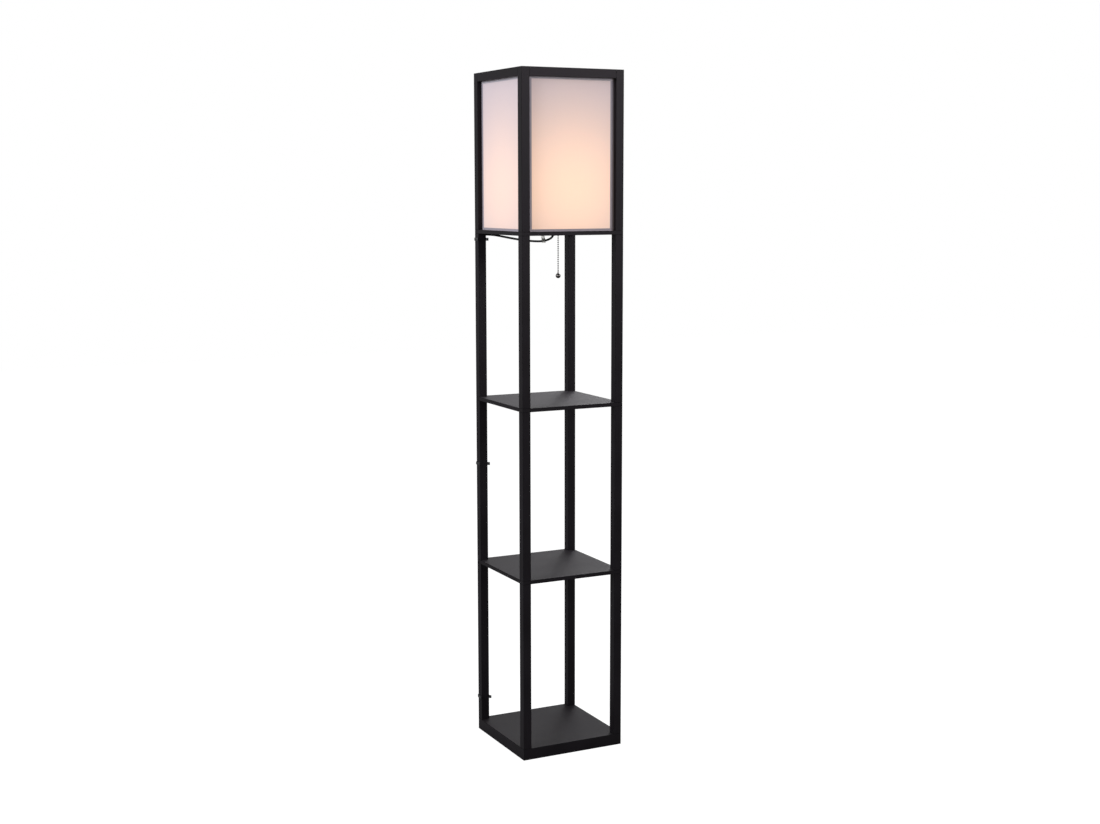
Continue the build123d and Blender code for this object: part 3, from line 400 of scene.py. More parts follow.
def joinedMesh(name, meshes):
    shape = bmesh.new()
    for mesh in meshes:
        shape.from_mesh(mesh)
    whole = bpy.data.meshes.new(name)
    shape.to_mesh(whole)
    shape.free()
    smoothed(whole, 40)
    return whole


def arc(centre, radius, start, end, count):
    turns = [math.radians(start + (end - start) * k / count) for k in range(count + 1)]
    return [(centre[0] + radius * math.cos(t), centre[1] + radius * math.sin(t)) for t in turns]


# The cord: one spline from the bushing, under the board, round the back post's corner, down to the floor,
# through the folded hank and to the plug, in mm
cordRoute = {
    "diameter": 5.0,
    "run": [
        (14, 0, 1227.0), (14, 0, 1219.4), (4.2, 10.0, 1210.5), (-11.2, 25.7, 1207.0), (-38.5, 53.5, 1209.7),
        (-68.6, 84.2, 1216.5), (-88.0, 108.0, 1221.8), (-104.2, 134.8, 1222.7), (-120, 134.4, 1222.4),
        (-120, 134.4, 1206.6), (-120, 134.4, 49.2), (-120, 134.4, 3.2),
    ],
    "hankMiddle": 154.05, "hankLeft": -74.0, "hankRight": 26.0,
    "layers": (3.2, 8.7),  # heights of the two layers of the hank
    "lanes": [(-19.65, 0, 0), (16.55, 0, 0), (-13.45, 0, 1), (16.55, 1, 1), (-19.65, 1, 1)],  # and from, to
    "drawnIn": 12.0,  # how far the tie draws a lane to the middle
    "laneSteps": ((0.125, 0, 0.04), (0.375, 1, 0.33), (0.625, 1, 0.67), (0.875, 0, 0.98)),
    "turnStep": 30,  # degrees between the points of a half turn
    "tail": [(31, 134.4, 8.7), (42.5, 134.4, 8.7), (61.5, 144, 6), (75.5, 144, 6)],
    "sides": 5, "smooth": 8,
}


def hankPoints():
    ends, middle = (cordRoute["hankLeft"], cordRoute["hankRight"]), cordRoute["hankMiddle"]
    lanes, step, points = cordRoute["lanes"], cordRoute["turnStep"], []
    for i, (lane, startLayer, endLayer) in enumerate(lanes):
        start, end = ends if i % 2 == 0 else ends[::-1]
        inward = math.copysign(cordRoute["drawnIn"], -lane)
        startZ, endZ = cordRoute["layers"][startLayer], cordRoute["layers"][endLayer]
        for along, drawn, risen in cordRoute["laneSteps"]:
            points.append((start + (end - start) * along, middle + lane + inward * drawn,
                           startZ + (endZ - startZ) * risen))
        if i + 1 < len(lanes):
            nextLane = lanes[i + 1][0]
            centre = middle + (lane + nextLane) / 2
            reach = abs(nextLane - lane) / 2 / math.cos(math.radians(step / 2))
            outward, side = math.copysign(1, end - start), math.copysign(1, lane - nextLane)
            for k in range(180 // step):
                turn = math.radians(90 - step / 2 - step * k)
                points.append((end + outward * reach * math.cos(turn),
                               centre + side * reach * math.sin(turn), endZ))
    return points


def cordCurve(name, points):
    curve = bpy.data.curves.new(name, "CURVE")
    curve.dimensions = "3D"
    curve.bevel_depth = cordRoute["diameter"] / 2 * mm
    curve.bevel_resolution = cordRoute["sides"]
    curve.resolution_u = cordRoute["smooth"]
    curve.use_fill_caps = True
    spline = curve.splines.new("NURBS")
    spline.points.add(len(points) - 1)
    for point, place in zip(spline.points, points):
        point.co = (*[v * mm for v in place], 1.0)
    spline.order_u = 3
    spline.use_endpoint_u = True
    return curve


lead = newPiece("leadCord", cordCurve("leadCord", cordRoute["run"] + hankPoints() + cordRoute["tail"]),
                [extrudedVinyl], "lamp", ("cord_run", "cord_hank", "cord_tail"))
print("cord laid")


# The frame's boards, posts and rails: the CAD solids, their chamfers drawn in to the corner and eased afresh
easing = {
    "stick": 0.4, "board": 0.5, "segments": 2,
    "chamfer": 0.85,  # mm; a point nearer the box than this is on the CAD's chamfer
    "flush": 0.02,  # mm; an edge nearer the box than this is an outer one
    "bend": 80,  # degrees; a flatter edge isn't eased
}


def easedCopy(node, finish, width=easing["stick"]):
    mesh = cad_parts[node].data.copy()
    mesh.name = node + "Eased"
    mesh.materials.clear()
    shape = bmesh.new()
    shape.from_mesh(mesh)
    low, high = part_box(node)
    for point in shape.verts:
        gaps = [min(point.co[i] - low[i], high[i] - point.co[i]) for i in range(3)]
        close = [i for i in range(3) if gaps[i] < easing["chamfer"] * mm]
        if len(close) > 1:
            for i in close:
                point.co[i] = low[i] if point.co[i] - low[i] < high[i] - point.co[i] else high[i]
    bmesh.ops.remove_doubles(shape, verts=shape.verts, dist=1e-6)
    bmesh.ops.dissolve_limit(shape, angle_limit=math.radians(1), verts=shape.verts, edges=shape.edges)
    weights = shape.edges.layers.float.new("bevel_weight_edge")
    for edge in shape.edges:
        if len(edge.link_faces) != 2:
            continue
        middle = (edge.verts[0].co + edge.verts[1].co) / 2
        flush = [i for i in range(3) if min(middle[i] - low[i], high[i] - middle[i]) < easing["flush"] * mm]
        bend = math.degrees(edge.link_faces[0].normal.angle(edge.link_faces[1].normal, 0.0))
        if bend > easing["bend"] and len(flush) > 1:
            edge[weights] = 1.0
    shape.to_mesh(mesh)
    shape.free()
    piece = newPiece(node + "Made", mesh, [finish, arrisLacquer], "lamp", (node,))
    smoothed(mesh, 30)
    bevel = piece.modifiers.new("easedEdges", "BEVEL")
    bevel.limit_method = "WEIGHT"
    bevel.width = width * mm
    bevel.segments = easing["segments"]
    bevel.material = 1
    bevel.harden_normals = True


for storey in ("lower", "middle", "upper", "lamp"):
    for corner in ("front_left", "front_right", "back_left", "back_right"):
        easedCopy(f"post_{storey}_{corner}", uprightLacquer)
for board in ("base_block", "shelf_lower", "shelf_upper", "lamp_board"):
    easedCopy(board, boardLacquer, easing["board"])
for walls, finish in ((("front", "back"), acrossLacquer), (("left", "right"), deepLacquer)):
    for wall in walls:
        easedCopy(f"top_rail_{wall}", finish)
print("frame eased")

# Small hidden hardware keeps its CAD shape
for node, material in {
    "studs_lower_shelf": zincSteel, "studs_upper_shelf": zincSteel, "studs_lamp_board": zincSteel,
    "base_bolts": zincSteel, "board_clip_screw": zincSteel, "top_rail_dowels": rawBeech,
    "socket_contact": drawnBrass, "shade_hems": hemBoard,
}.items():
    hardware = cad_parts[node]
    hardware.data.materials.clear()
    hardware.data.materials.append(material)

# The four cloth panels, pulled tight over their hem boards; lengths are in mm
panel = {
    "width": 227.0, "bottom": 1232.5, "top": 1583.5, "face": 120.0, "thickness": 1.0, "cells": (28, 42),
    "crown": 0.35, "ripple": 0.05, "ripples": (23, 3, 9),
}
wallTurns = {"front": 0, "right": 90, "back": 180, "left": 270}


def clothPanel(wall):
    turn = math.radians(wallTurns[wall])
    out = Vector((math.sin(turn), -math.cos(turn), 0))
    along = Vector((math.cos(turn), math.sin(turn), 0))
    across, up = panel["cells"]
    often, sway, swayOften = panel["ripples"]
    points, faces = [], []
    for layer in (0, 1):
        for j in range(up + 1):
            for i in range(across + 1):
                u, v = i / across, j / up
                domeU, domeV = math.sin(math.pi * u), math.sin(math.pi * v)
                crown = panel["crown"] * domeU ** 0.5 * domeV ** 0.5
                ripple = panel["ripple"] * math.sin(often * u + sway * math.sin(swayOften * v)) * domeV
                depth = panel["face"] - layer * panel["thickness"] + (crown + ripple) - panel["crown"]
                place = along * ((u - 0.5) * panel["width"]) + out * depth
                points.append((place.x, place.y, panel["bottom"] + v * (panel["top"] - panel["bottom"])))
    row, sheet = across + 1, (across + 1) * (up + 1)
    for j in range(up):
        for i in range(across):
            a = j * row + i
            faces.append((a, a + 1, a + 1 + row, a + row))
            faces.append((a + sheet, a + row + sheet, a + 1 + row + sheet, a + 1 + sheet))
    rim = list(range(row)) + [j * row + across for j in range(1, up + 1)]
    rim += [up * row + i for i in range(across - 1, -1, -1)] + [j * row for j in range(up - 1, 0, -1)]
    for a, b in zip(rim, rim[1:] + rim[:1]):
        faces.append((a, a + sheet, b + sheet, b))
    name = f"clothPanel_{wall}"
    mesh = meshOf(name, points, faces)
    cloth = newPiece(name, mesh, [linenCloth], "lamp", (f"shade_panel_{wall}",))


for wall in wallTurns:
    clothPanel(wall)
print("cloth stretched")


axis, chainAt = (14.0, 0.0), (14.0, -25.0)  # the lamp holder's and the chain's place
foot, tip = 1237.5, 1271.4  # heights of the holder's cap and of the bulb's tip
turnedAlike = {"at": axis, "base": 0.0, "steps": 72, "threadRows": 10, "thread": None, "body": "lamp"}


def circle(steps):
    return [2 * math.pi * s / steps for s in range(steps)]


def around(centre, radius, turn, z):
    return centre[0] + radius * math.cos(turn), centre[1] + radius * math.sin(turn), z


# A turned piece: its outline of radii and heights above the base, in mm, goes round an upright axis. A thread
# waves the straight stretch of the outline that has its radius.
def turned(name, piece):
    piece = {**turnedAlike, **piece}
    outline, base, steps, thread = (piece[key] for key in ("outline", "base", "steps", "thread"))
    rings = []
    for (r1, z1), (r2, z2) in zip(outline, outline[1:] + outline[:1]):
        threaded = thread is not None and r1 == r2 == thread["radius"]
        rows = math.ceil(abs(z2 - z1) / thread["pitch"] * piece["threadRows"]) if threaded else 1
        for k in range(rows):
            rings.append((r1 + (r2 - r1) * k / rows, z1 + (z2 - z1) * k / rows, threaded))
    points = []
    for radius, z, threaded in rings:
        for turn in circle(steps):
            r = radius
            if threaded:
                pitch = thread["pitch"]
                ease = min(1.0, (z - thread["low"]) / pitch * 2, (thread["high"] - z) / pitch * 2)
                wave = math.sin(2 * math.pi * (base + z) / pitch - turn)
                r += thread["depth"] * max(0.0, ease) * (wave - 1) / 2
            points.append(around(piece["at"], r, turn, base + z))
    mesh = meshOf(name, points, ringFaces(len(rings), steps))
    newPiece(name, mesh, [piece["finish"]], piece["body"], piece["nodes"])


holderPieces = {
    "holderCap": {
        "outline": [(5.05, 0), (7.4, 0), (8.0, 0.5), (17.5, 12.6), (18.2, 14.2), (18.2, 19.4), (18.6, 20.0),
                    (18.5, 20.8), (17.8, 21.0), (17.3, 20.6), (17.25, 14.6), (7.0, 5.0), (5.05, 5.0)],
        "base": foot, "finish": pressedPhenolic, "nodes": ("socket_cap",), "slot": "holder_shell",
    },
    "holderBlock": {
        "outline": [(1.0, 9.0), (11.2, 9.0), (15.6, 13.2), (15.8, 13.8), (15.8, 30.4), (15.2, 31.0),
                    (1.0, 31.0)],
        "base": foot, "finish": pressedPhenolic, "nodes": ("switch_block",), "slot": "black_plastic",
    },
    "screwShell": {
        "outline": [(13.35, 31.6), (13.35, 50.6), (13.5, 51.0), (13.75, 50.8), (13.75, 31.3), (13.4, 31.0),
                    (5.5, 31.0), (5.5, 31.5), (13.0, 31.5)],
        "thread": {"radius": 13.35, "low": 33, "high": 50, "pitch": 3.629, "depth": -0.35},
        "base": foot, "finish": drawnBrass, "nodes": ("socket_screw_shell",), "slot": "brass",
    },
    "hollowNipple": {
        "outline": [(3.85, 1222.0), (4.6, 1222.0), (5.0, 1222.5), (5.0, 1242.0), (4.6, 1242.5),
                    (3.85, 1242.5)],
        "thread": {"radius": 5.0, "low": 1222.2, "high": 1242.3, "pitch": 1.0, "depth": 0.5},
        "finish": zincSteel, "nodes": ("nipple",), "slot": "brass",
    },
    "cordBushing": {
        "outline": [(3.1, 1221.6), (3.5, 1221.2), (4.6, 1221.2), (5.0, 1221.6), (4.8, 1222.0), (3.8, 1222.0),
                    (3.8, 1230.6), (3.4, 1231.0), (3.1, 1230.6)],
        "steps": 48, "finish": mouldedBlack, "nodes": ("cord_bushing",), "slot": "black_plastic",
    },
    "boardEyelet": {
        "outline": [(3.0, 1225.5), (3.2, 1224.5), (3.9, 1224.3), (5.6, 1224.4), (6.2, 1225.0), (6.1, 1225.5),
                    (4.6, 1225.5), (4.6, 1234.5), (6.1, 1234.5), (6.2, 1235.1), (5.6, 1235.6), (3.9, 1235.7),
                    (3.2, 1235.4), (3.0, 1234.5)],
        "at": chainAt, "steps": 48, "finish": nickelPlate, "nodes": ("board_eyelet",), "slot": "eyelet_metal",
    },
    "chainBall": {
        "outline": [(0.02, -5.9)] + arc((0, 0), 5.9, -90, 64.21687, 16)[1:]
                   + [(2.1, 5.75), (1.9, 6.3), (1.9, 9.79), (1.5, 10.59), (0.02, 10.59)],
        "at": chainAt, "base": 1128.41, "steps": 48, "finish": ballPlate,
        "body": "chain_end", "nodes": ("chain_ball",), "slot": "chain_metal",
    },
}
for name, piece in holderPieces.items():
    turned(name, piece)

# The bulb: a neck that swells out of the collar, a short band and a round top. Heights are above the tip.
bulb = {
    "radius": 29.5, "neck": 14.2, "swell": 1.7, "steps": 16,
    "collarTop": 24.0, "bandBottom": 68.5, "bandTop": 74.5,
}


def globeOutline():
    low, high = bulb["collarTop"], bulb["bandBottom"]
    outline = [(0.02, low), (13.4, low), (13.9, low + 0.3)]
    for k in range(1, bulb["steps"] + 1):
        share = 1 - k / bulb["steps"]
        radius = bulb["neck"] + (bulb["radius"] - bulb["neck"]) * (1 - share ** bulb["swell"])
        outline.append((radius, high + (low - high) * share))
    dome = arc((0, bulb["bandTop"]), bulb["radius"], 0, 90, bulb["steps"])
    return outline + [(max(0.02, radius), z) for radius, z in dome]


bulbPieces = {
    "bulbCollar": {
        "outline": [(7.8, 5.0), (9.2, 5.0), (12.4, 8.6), (13.1, 9.4), (13.1, 22.6), (12.7, 23.2),
                    (13.1, 24.0), (12.5, 24.0), (12.2, 9.6), (8.8, 5.6), (7.8, 5.6)],
        "thread": {"radius": 13.1, "low": 9.0, "high": 23.0, "pitch": 3.629, "depth": 0.9},
        "finish": rolledAluminium, "body": "bulb", "nodes": ("bulb_collar",), "slot": "bulb_collar",
    },
    "bulbInsulator": {
        "outline": [(0.02, 1.0), (4.5, 1.0), (5.4, 1.3), (8.9, 3.9), (9.0, 4.4), (9.0, 5.0), (0.02, 5.0)],
        "finish": pressedGlass, "body": "bulb_rise", "nodes": (), "slot": "bulb_base",
    },
    "bulbTip": {
        "outline": [(0.02, 0), (3.4, 0), (4.3, 0.4), (4.5, 1.0), (0.02, 1.0)], "steps": 36,
        "finish": drawnBrass, "body": "bulb_rise", "nodes": ("bulb_contact",), "slot": "bulb_base",
    },
    "bulbGlobe": {
        "outline": globeOutline(), "steps": 80,
        "finish": litGlass, "body": "bulb", "nodes": ("bulb_globe",), "slot": "bulb_glass",
    },
}
for name, piece in bulbPieces.items():
    turned(name, {**piece, "base": tip})

# The holder's shell: knurled round its middle, and notched at its foot for the chain's guide. Its rings are
# heights above its base and radii, in mm.
shell = {
    "base": foot + 14.5, "steps": 240, "knurl": (23, 30), "flutes": 30, "fluteDepth": 0.3,
    "notch": 3.7,  # half its width
    "notchTop": 15.05,  # the outside's first three rings lie below it, and the inside's last two
    "outside": [(0, 17.1), (7.0, 17.1), (14.9, 17.1), (15.1, 17.1), (22, 17.1), (23, 17.1), (24, 17.1),
                (29, 17.1), (30, 17.1), (31, 17.1), (35.5, 17.1), (36.3, 17.4), (36.6, 18.1), (37.2, 18.1),
                (37.5, 17.7)],
    "inside": [(37.4, 16.5), (36.8, 16.3), (15.0, 16.3), (0, 16.3)],
}


def shellPiece():
    steps, (knurlFoot, knurlTop) = shell["steps"], shell["knurl"]
    rings, points = shell["outside"] + shell["inside"], []
    for k, (z, radius) in enumerate(rings):
        knurled = k < len(shell["outside"]) and knurlFoot <= z <= knurlTop
        for turn in circle(steps):
            flute = shell["fluteDepth"] * abs(math.sin(shell["flutes"] * turn)) if knurled else 0.0
            points.append(around(axis, radius + flute, turn, shell["base"] + z))
    halfTurn = math.degrees(shell["notch"] / rings[0][1])
    notch = [s for s in range(steps) if abs((s + 0.5) / steps * 360 - 270) < halfTurn]
    count = len(rings)
    cut = [max(rings[k][0], rings[(k + 1) % count][0]) < shell["notchTop"] for k in range(count)]
    faces = [face for i, face in enumerate(ringFaces(count, steps))
             if not (cut[i // steps] and i % steps in notch)]
    inner = count - 2  # the ring inside, level with the notch's top
    for edge in (notch[0], notch[-1] + 1):
        faces.append([k * steps + edge for k in (0, 1, 2, inner, inner + 1)])
    for s in notch:
        faces.append((2 * steps + s, 2 * steps + s + 1, inner * steps + s + 1, inner * steps + s))
    mesh = meshOf("holderShell", points, faces)
    newPiece("holderShell", mesh, [pressedPhenolic], "lamp", ("socket_shell",))


shellPiece()

# The two nuts on the nipple, below and above the lamp board
nut = {
    "flat": 7.0, "bore": 5.0, "corner": 8.15, "edge": 0.5, "steps": 72,
    "crown": 0.96,  # the round face's share of the flats' width
    "heights": ((1222.5, 1225.5), (1234.5, 1237.5)),
}


def nippleNuts():
    bore, crown, edge, steps = nut["bore"], nut["flat"] * nut["crown"], nut["edge"], nut["steps"]
    points, faces = [], []
    for low, high in nut["heights"]:
        faces += [[len(points) + i for i in face] for face in ringFaces(6, steps)]
        heights = (low, low, low + edge, high - edge, high, high)
        for z, radius in zip(heights, (bore, crown, None, None, crown, bore)):
            for turn in circle(steps):
                corner = (turn + math.pi / 6) % (math.pi / 3) - math.pi / 6
                hexagon = min(nut["corner"], nut["flat"] / math.cos(corner))
                points.append(around(axis, radius or hexagon, turn, z))
    mesh = meshOf("nippleNuts", points, faces)
    newPiece("nippleNuts", mesh, [zincSteel], "lamp", ("nipple_nuts",))


nippleNuts()
print("holder and bulb turned")

# The bent tube that guides the chain out of the switch and down to the board
guide = {
    "start": -15.6, "bendFrom": -19.0, "height": 1263.5, "bendRadius": 6.0, "bendSteps": 8, "steps": 32,
    "foot": (1247.0, 1246.0, 1245.5),  # its mouth is belled below
    "outer": (3.1, 3.25, 3.4), "inner": (2.3, 2.4, 2.7),
}


def guideTube():
    x, height, bend = chainAt[0], guide["height"], guide["bendRadius"]
    forward, down = Vector((0, -1, 0)), Vector((0, 0, -1))
    path = [(Vector((x, guide["start"], height)), forward), (Vector((x, guide["bendFrom"], height)), forward)]
    for k in range(1, guide["bendSteps"] + 1):
        turn = math.radians(90 * k / guide["bendSteps"])
        y, z = guide["bendFrom"] - bend * math.sin(turn), height - bend + bend * math.cos(turn)
        path.append((Vector((x, y, z)), forward * math.cos(turn) + down * math.sin(turn)))
    path += [(Vector((x, chainAt[1], z)), down) for z in guide["foot"]]
    even = len(path) - 2
    outer, inner = ([wall[0]] * even + list(wall[1:]) for wall in (guide["outer"], guide["inner"]))
    rings = list(zip(path, outer)) + list(zip(path[::-1], inner[::-1]))
    side, steps, points = Vector((1, 0, 0)), guide["steps"], []
    for (place, way), radius in rings:
        up = way.cross(side)
        for turn in circle(steps):
            points.append(place + side * (radius * math.cos(turn)) + up * (radius * math.sin(turn)))
    mesh = meshOf("chainGuide", points, ringFaces(len(rings), steps))
    newPiece("chainGuide", mesh, [drawnBrass], "lamp", ("chain_guide",))


guideTube()

# The bead chain: hollow beads pressed round a wire, the same tree for each length. A length has its top
# bead's height, its beads, the wire above and below its top bead, all in mm, and its body and node.
beadChain = {
    "bead": 3.4, "pitch": 5.0, "wire": 0.6, "sides": 20, "rings": 14, "wireSides": 10,
    "lengths": {
        "chainUpper": (1256.5, 7, 0.0, 32.1, "chain_top", "chain_upper"),
        "chainLink": (1221.5, 1, 2.3, 2.3, "chain_knuckle", "chain_link"),
        "chainLower": (1216.5, 16, 2.1, 77.4, "chain_end", "chain_lower"),
    },
}


def beadTree():
    tree = bpy.data.node_groups.new("beadChainTree", "GeometryNodeTree")
    tree.interface.new_socket("Geometry", in_out="OUTPUT", socket_type="NodeSocketGeometry")
    for name, kind in {
        "Bead Count": "Int", "Bead Diameter": "Float", "Pitch": "Float", "Wire Diameter": "Float",
        "Top": "Vector", "Wire Above": "Float", "Wire Below": "Float", "Finish": "Material",
    }.items():
        tree.interface.new_socket(name, in_out="INPUT", socket_type="NodeSocket" + kind)
    given = addNode(tree, "NodeGroupInput").outputs

    fall = addNode(tree, "ShaderNodeMath", {0: given["Pitch"], 1: -1.0}, operation="MULTIPLY").outputs[0]
    down = addNode(tree, "ShaderNodeCombineXYZ", {2: fall}).outputs[0]
    radius, wireRadius = (
        addNode(tree, "ShaderNodeMath", {0: given[size], 1: 0.5}, operation="MULTIPLY").outputs[0]
        for size in ("Bead Diameter", "Wire Diameter"))
    ends = []
    for operation, length in (("ADD", "Wire Above"), ("SUBTRACT", "Wire Below")):
        upward = addNode(tree, "ShaderNodeCombineXYZ", {2: given[length]}).outputs[0]
        inputs = {0: given["Top"], 1: upward}
        ends.append(addNode(tree, "ShaderNodeVectorMath", inputs, operation=operation).outputs[0])
    line = addNode(tree, "GeometryNodeMeshLine", {
        "Count": given["Bead Count"], "Start Location": given["Top"], "Offset": down}).outputs[0]
    bead = addNode(tree, "GeometryNodeMeshUVSphere", {
        "Segments": beadChain["sides"], "Rings": beadChain["rings"], "Radius": radius}).outputs[0]
    beads = addNode(tree, "GeometryNodeInstanceOnPoints", {"Points": line, "Instance": bead}).outputs[0]
    wireLine = addNode(tree, "GeometryNodeCurvePrimitiveLine", {"Start": ends[0], "End": ends[1]}).outputs[0]
    ring = addNode(tree, "GeometryNodeCurvePrimitiveCircle", {
        "Resolution": beadChain["wireSides"], "Radius": wireRadius}).outputs[0]
    wire = addNode(tree, "GeometryNodeCurveToMesh", {
        "Curve": wireLine, "Profile Curve": ring, "Fill Caps": True}).outputs[0]
    both = addNode(tree, "GeometryNodeJoinGeometry")
    tree.links.new(beads, both.inputs[0])
    tree.links.new(wire, both.inputs[0])
    real = addNode(tree, "GeometryNodeRealizeInstances", {0: both.outputs[0]}).outputs[0]
    smooth = addNode(tree, "GeometryNodeSetShadeSmooth", {0: real}).outputs[0]
    done = addNode(tree, "GeometryNodeSetMaterial", {"Geometry": smooth, "Material": given["Finish"]})
    addNode(tree, "NodeGroupOutput", {0: done.outputs[0]})
    return tree


def plainMesh(name, maker):
    # What the maker's curve or tree comes to, kept as a mesh of its own
    mesh = bpy.data.meshes.new_from_object(maker.evaluated_get(bpy.context.evaluated_depsgraph_get()))
    bpy.data.objects.remove(maker)
    mesh.name = name
    return mesh


def grownMesh(name, tree, values):
    seed = bpy.data.objects.new(name + "Seed", bpy.data.meshes.new(name + "Seed"))
    scene.collection.objects.link(seed)
    modifier = seed.modifiers.new("grow", "NODES")
    modifier.node_group = tree
    for item in tree.interface.items_tree:
        if item.in_out == "INPUT":
            modifier[item.identifier] = values[item.name]
    return plainMesh(name, seed)


beads = beadTree()
for name, (top, count, above, below, body, node) in beadChain["lengths"].items():
    mesh = grownMesh(name, beads, {
        "Bead Count": count, "Bead Diameter": beadChain["bead"] * mm, "Pitch": beadChain["pitch"] * mm,
        "Wire Diameter": beadChain["wire"] * mm, "Top": (chainAt[0] * mm, chainAt[1] * mm, top * mm),
        "Wire Above": above * mm, "Wire Below": below * mm, "Finish": nickelPlate,
    })
    newPiece(name, mesh, [], body, (node,))
print("chain strung")


def flatShape(name, loops, thickness, edge, place):
    # A plate of the loops' outline with rounded edges, laid at a place
    curve = bpy.data.curves.new(name, "CURVE")
    curve.dimensions = "2D"
    curve.fill_mode = "BOTH"
    curve.extrude = (thickness / 2 - edge) * mm
    curve.bevel_depth = edge * mm
    curve.bevel_resolution = 2
    curve.offset = -edge * mm
    for loop in loops:
        spline = curve.splines.new("POLY")
        spline.points.add(len(loop) - 1)
        for point, (u, v) in zip(spline.points, loop):
            point.co = (u * mm, v * mm, 0, 1)
        spline.use_cyclic_u = True
    maker = bpy.data.objects.new(name + "Flat", curve)
    scene.collection.objects.link(maker)
    mesh = plainMesh(name, maker)
    mesh.transform(place)
    closedUp(mesh)
    smoothed(mesh, 40)
    return mesh


def placed(origin, xWay, yWay):
    xWay, yWay = Vector(xWay).normalized(), Vector(yWay).normalized()
    columns = [xWay, yWay, xWay.cross(yWay)]
    turn = Matrix([[c[i] for c in columns] for i in range(3)]).to_4x4()
    return Matrix.Translation(Vector(origin) * mm) @ turn


# The snap clips on the back post: a spring channel with lips, and a split ring for the cord
postClip = {
    "post": (-120, 120), "heights": (1211.9, 670.0, 84.0), "width": 7.0, "edge": 0.35,
    "ring": (0, 14.4), "outer": 4.2, "inner": 2.8, "mouth": 64.6, "root": -41.8, "bore": (130.0, 410.0),
    "back": [(3.13, 11.6)], "shoulder": (10.1, 10.1), "shoulderRadius": 1.5,
    "lip": [(11.6, -8.4), (14.9, -13.2), (14.1, -14.3), (13.2, -14.2), (9.5, -10.7), (10.0, -10.0),
            (10.0, 10.0)],
}


def postClipOutline():
    ring = postClip["ring"]
    right = arc(ring, postClip["outer"], postClip["mouth"], postClip["root"], 14) + postClip["back"]
    right += arc(postClip["shoulder"], postClip["shoulderRadius"], 90, 0, 6) + postClip["lip"]
    left = [(-x, y) for x, y in reversed(right)]
    return right + left + arc(ring, postClip["inner"], *postClip["bore"], 28)


clips = joinedMesh("postClips", [
    flatShape("postClip", [postClipOutline()], postClip["width"], postClip["edge"],
              placed((*postClip["post"], height), (1, 0, 0), (0, 1, 0))) for height in postClip["heights"]])
newPiece("postClips", clips, [mouldedBlack], "lamp", ("post_cord_clips",))

# The nylon band clip under the lamp board: a ring round the cord, and a leg up to the screw's tab
bandClip = {
    "cordWay": (-0.7, 0.714, 0), "along": 24, "height": 1208.9, "width": 8.0, "edge": 0.3,
    "outer": 4.6, "bore": 3.6,
    "leg": [(4.1, 4.9), (10.6, 13.9), (11.6, 14.9), (24.0, 15.0), (24.5, 15.4), (24.5, 16.2), (24.1, 16.6),
            (10.9, 16.6), (9.9, 16.1), (0.9, 4.9)],
}
bandWay = Vector(bandClip["cordWay"]).normalized()
bandSide = Vector((-bandWay.y, bandWay.x, 0))
bandCentre = Vector((*axis, bandClip["height"])) + bandWay * bandClip["along"]
bandLoops = [arc((0, 0), bandClip["outer"], 90, 405, 40) + bandClip["leg"],
             arc((0, 0), bandClip["bore"], 360, 9, 39)]
band = flatShape("boardBandClip", bandLoops, bandClip["width"], bandClip["edge"],
                 placed(bandCentre, bandSide, (0, 0, 1)))
newPiece("boardBandClip", band, [naturalNylon], "lamp", ("board_cord_clip",))

# The plug: lofted along X through rounded sections of half width, half height and squareness, in mm
plugShape = {
    "centre": (144, 6), "steps": 48,
    "relief": [(73.5, 2.7, 2.7, 2), (73.7, 3.0, 3.0, 2)],
    "ribs": 8, "ribFrom": 75.0, "ribPitch": 1.9, "ribRadius": 3.05, "ribGrowth": 0.13,
    "rib": ((0, 0), (0.15, 0.35), (1.0, 0.42), (1.15, 0.05)),  # along and out, from where a rib starts
    "grip": [(90.4, 4.6, 4.4, 2.1), (91.5, 6.4, 4.9, 2.3), (93.0, 9.6, 5.6, 2.7), (94.5, 11.3, 5.9, 3.2),
             (97.0, 11.9, 6.0, 3.6), (100.0, 11.4, 5.9, 3.6), (103.0, 10.9, 5.7, 3.6),
             (106.0, 11.3, 5.9, 3.6), (109.0, 11.9, 6.0, 3.8), (112.4, 12.0, 6.0, 4.0),
             (113.2, 11.7, 5.7, 4.0), (113.5, 11.2, 5.2, 4.0)],
}


def plugPiece():
    sections, steps, (middleY, middleZ) = list(plugShape["relief"]), plugShape["steps"], plugShape["centre"]
    for k in range(plugShape["ribs"]):
        x = plugShape["ribFrom"] + k * plugShape["ribPitch"]
        radius = plugShape["ribRadius"] + plugShape["ribGrowth"] * k
        sections += [(x + along, radius + out, radius + out, 2) for along, out in plugShape["rib"]]
    sections += plugShape["grip"]
    points = []
    for x, halfWidth, halfHeight, squareness in sections:
        for turn in circle(steps):
            y, z = (math.copysign(abs(v) ** (2 / squareness), v) for v in (math.cos(turn), math.sin(turn)))
            points.append((x, middleY + halfWidth * y, middleZ + halfHeight * z))
    faces = ringFaces(len(sections), steps, closed=False)
    faces.append(list(range(steps))[::-1])
    faces.append([(len(sections) - 1) * steps + s for s in range(steps)])
    mesh = meshOf("plugBody", points, faces)
    return newPiece("plugBody", mesh, [mouldedVinyl], "lamp", ("plug_body",))


plug = plugPiece()

